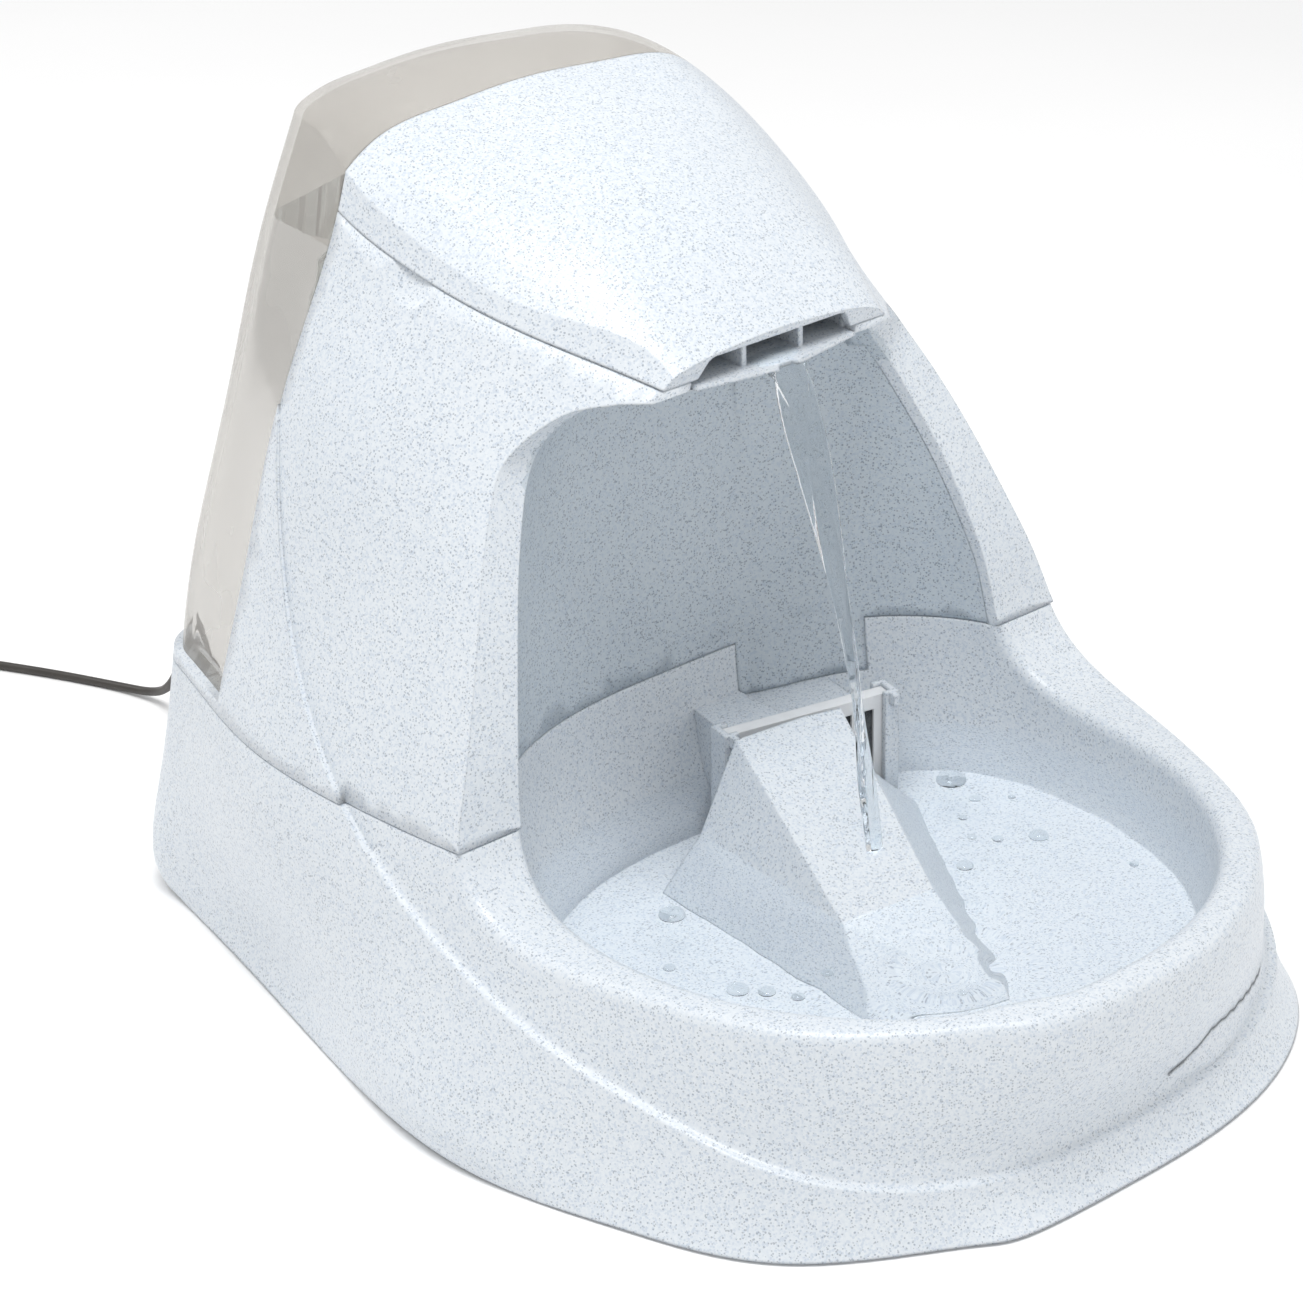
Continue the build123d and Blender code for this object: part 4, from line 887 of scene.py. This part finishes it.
def make_bubbles():
    """Thin domes of water on the bowl's surface, one shaped and copied."""
    deselect()
    bpy.ops.mesh.primitive_uv_sphere_add(segments=20, ring_count=12, radius=1.0)
    dome = named("bubble_form")
    edit_all(dome)
    bpy.ops.mesh.bisect(plane_co=(0, 0, -0.25), plane_no=(0, 0, 1), clear_inner=True,
                        use_fill=True)
    bpy.ops.object.mode_set(mode="OBJECT")
    copies = []
    for x, y, radius in BUBBLES:
        bubble = link_new("bubble", dome.data.copy())
        bubble.scale = (radius * MM, radius * MM, BUBBLE_FLATNESS * radius * MM)
        bubble.location = (x * MM, y * MM, BOWL_WATER_Z)
        copies.append(bubble)
    bpy.data.objects.remove(dome)
    deselect()
    for bubble in copies:
        bubble.select_set(True)
    bpy.context.view_layer.objects.active = copies[0]
    bpy.ops.object.join()
    bubbles = named("bubbles")
    settle(bubbles)
    smooth(bubbles, 60)
    dress(bubbles, FALLING_WATER)
    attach(bubbles, "base")


# Cord -------------------------------------------------------------------------------------------

def coil_points():
    """The turns of the coil, each a ring of points, with a slanting step to the next turn."""
    points = []
    last_angle = math.radians(COIL_START + 360 * len(COIL_TURNS) - COIL_SHORT)
    for step in range(1, len(COIL_TURNS) * COIL_POINTS):
        turn, share = divmod(step / COIL_POINTS, 1)
        column, layer = COIL_TURNS[int(turn)]
        if share > COIL_SHIFT_FROM and int(turn) + 1 < len(COIL_TURNS):
            blend = (share - COIL_SHIFT_FROM) / (1 - COIL_SHIFT_FROM)
            next_column, next_layer = COIL_TURNS[int(turn) + 1]
            column += (next_column - column) * blend
            layer += (next_layer - layer) * blend
        radius = (COIL_INNER + CORD_DIAMETER * column) / math.cos(math.pi / COIL_POINTS)
        angle = math.radians(COIL_START + 360 * step / COIL_POINTS)
        if angle > last_angle:
            break
        points.append((COIL_CENTRE[0] + radius * math.cos(angle),
                       COIL_CENTRE[1] + radius * math.sin(angle),
                       COIL_LOW_Z + CORD_DIAMETER * layer))
    return points


def make_cord():
    """The whole cord as one smooth line: out of its relief, along the floor and into its coil."""
    curve = bpy.data.curves.new("mains_cord", "CURVE")
    curve.dimensions = "3D"
    spline = curve.splines.new("NURBS")
    points = [tuple(point) for point in CORD_WAY] + coil_points() + CORD_TAIL
    spline.points.add(len(points) - 1)
    for point, place in zip(spline.points, points):
        point.co = (place[0] * MM, place[1] * MM, place[2] * MM, 1)
    spline.order_u = 3
    spline.use_endpoint_u = True
    spline.resolution_u = 6
    curve.bevel_depth = CORD_DIAMETER / 2 * MM
    curve.bevel_resolution = 3
    curve.use_fill_caps = True
    cord = link_new("mains_cord", curve)
    dress(cord, JACKET)
    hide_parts("power_cord", "cord_coil", "cord_tail")
    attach(cord, "base")


# Studio -----------------------------------------------------------------------------------------

def make_floor():
    """A wide pale floor."""
    deselect()
    bpy.ops.mesh.primitive_plane_add(size=12, location=(0, 2, 0))
    floor = named("floor")
    settle(floor)
    material, tree, shader = new_material("pale floor")
    colour_wander(tree, shader, object_place(tree), 3.0, 3.0, (0.95, 0.95, 0.95, 1),
                  (0.97, 0.97, 0.97, 1))
    shader.inputs["Roughness"].default_value = 0.9
    dress(floor, material)


def make_light(name, place, aim, size, watts):
    """A round soft lamp at a place, turned to its aim."""
    light = bpy.data.lights.new(name, "AREA")
    light.shape = "DISK"
    light.size = size
    light.energy = watts
    lamp = link_new(name, light)
    lamp.location = place
    lamp.rotation_euler = (Vector(aim) - Vector(place)).to_track_quat("-Z", "Y").to_euler()


def make_studio():
    """Floor, even white surroundings and three lamps."""
    make_floor()
    world = bpy.data.worlds.new("studio")
    bpy.context.scene.world = world
    world.use_nodes = True
    sky = node_of(world.node_tree, "BACKGROUND")
    sky.inputs["Color"].default_value = (1.0, 1.0, 1.0, 1)
    sky.inputs["Strength"].default_value = SKY_STRENGTH
    for light in LIGHTS:
        make_light(*light)


def make_camera():
    """The camera, from its angles round the target and its own roll."""
    azimuth, height, roll = (math.radians(value)
                             for value in (VIEW_AZIMUTH, VIEW_HEIGHT, VIEW_ROLL))
    back = Vector((-math.sin(azimuth) * math.cos(height), -math.cos(azimuth) * math.cos(height),
                   math.sin(height)))
    level = Vector((math.cos(azimuth), -math.sin(azimuth), 0))
    rise = back.cross(level)
    right = math.cos(roll) * level + math.sin(roll) * rise
    up = -math.sin(roll) * level + math.cos(roll) * rise
    lens = bpy.data.cameras.new("camera")
    lens.sensor_width = 36.0
    lens.lens = FOCAL_LENGTH
    lens.clip_start = 0.01
    lens.clip_end = 50.0
    camera = link_new("camera", lens)
    turn = Matrix((right, up, back)).transposed().to_4x4()
    camera.matrix_world = Matrix.Translation(VIEW_TARGET + back * VIEW_DISTANCE) @ turn
    bpy.context.scene.camera = camera


finish_nodes()
make_liner()
make_hood()
make_skirt_blend()
make_bowl_water()
make_tank_water()
make_stream()
make_bubbles()
make_cord()
make_studio()
make_camera()
bpy.context.scene.view_settings.view_transform = "Standard"
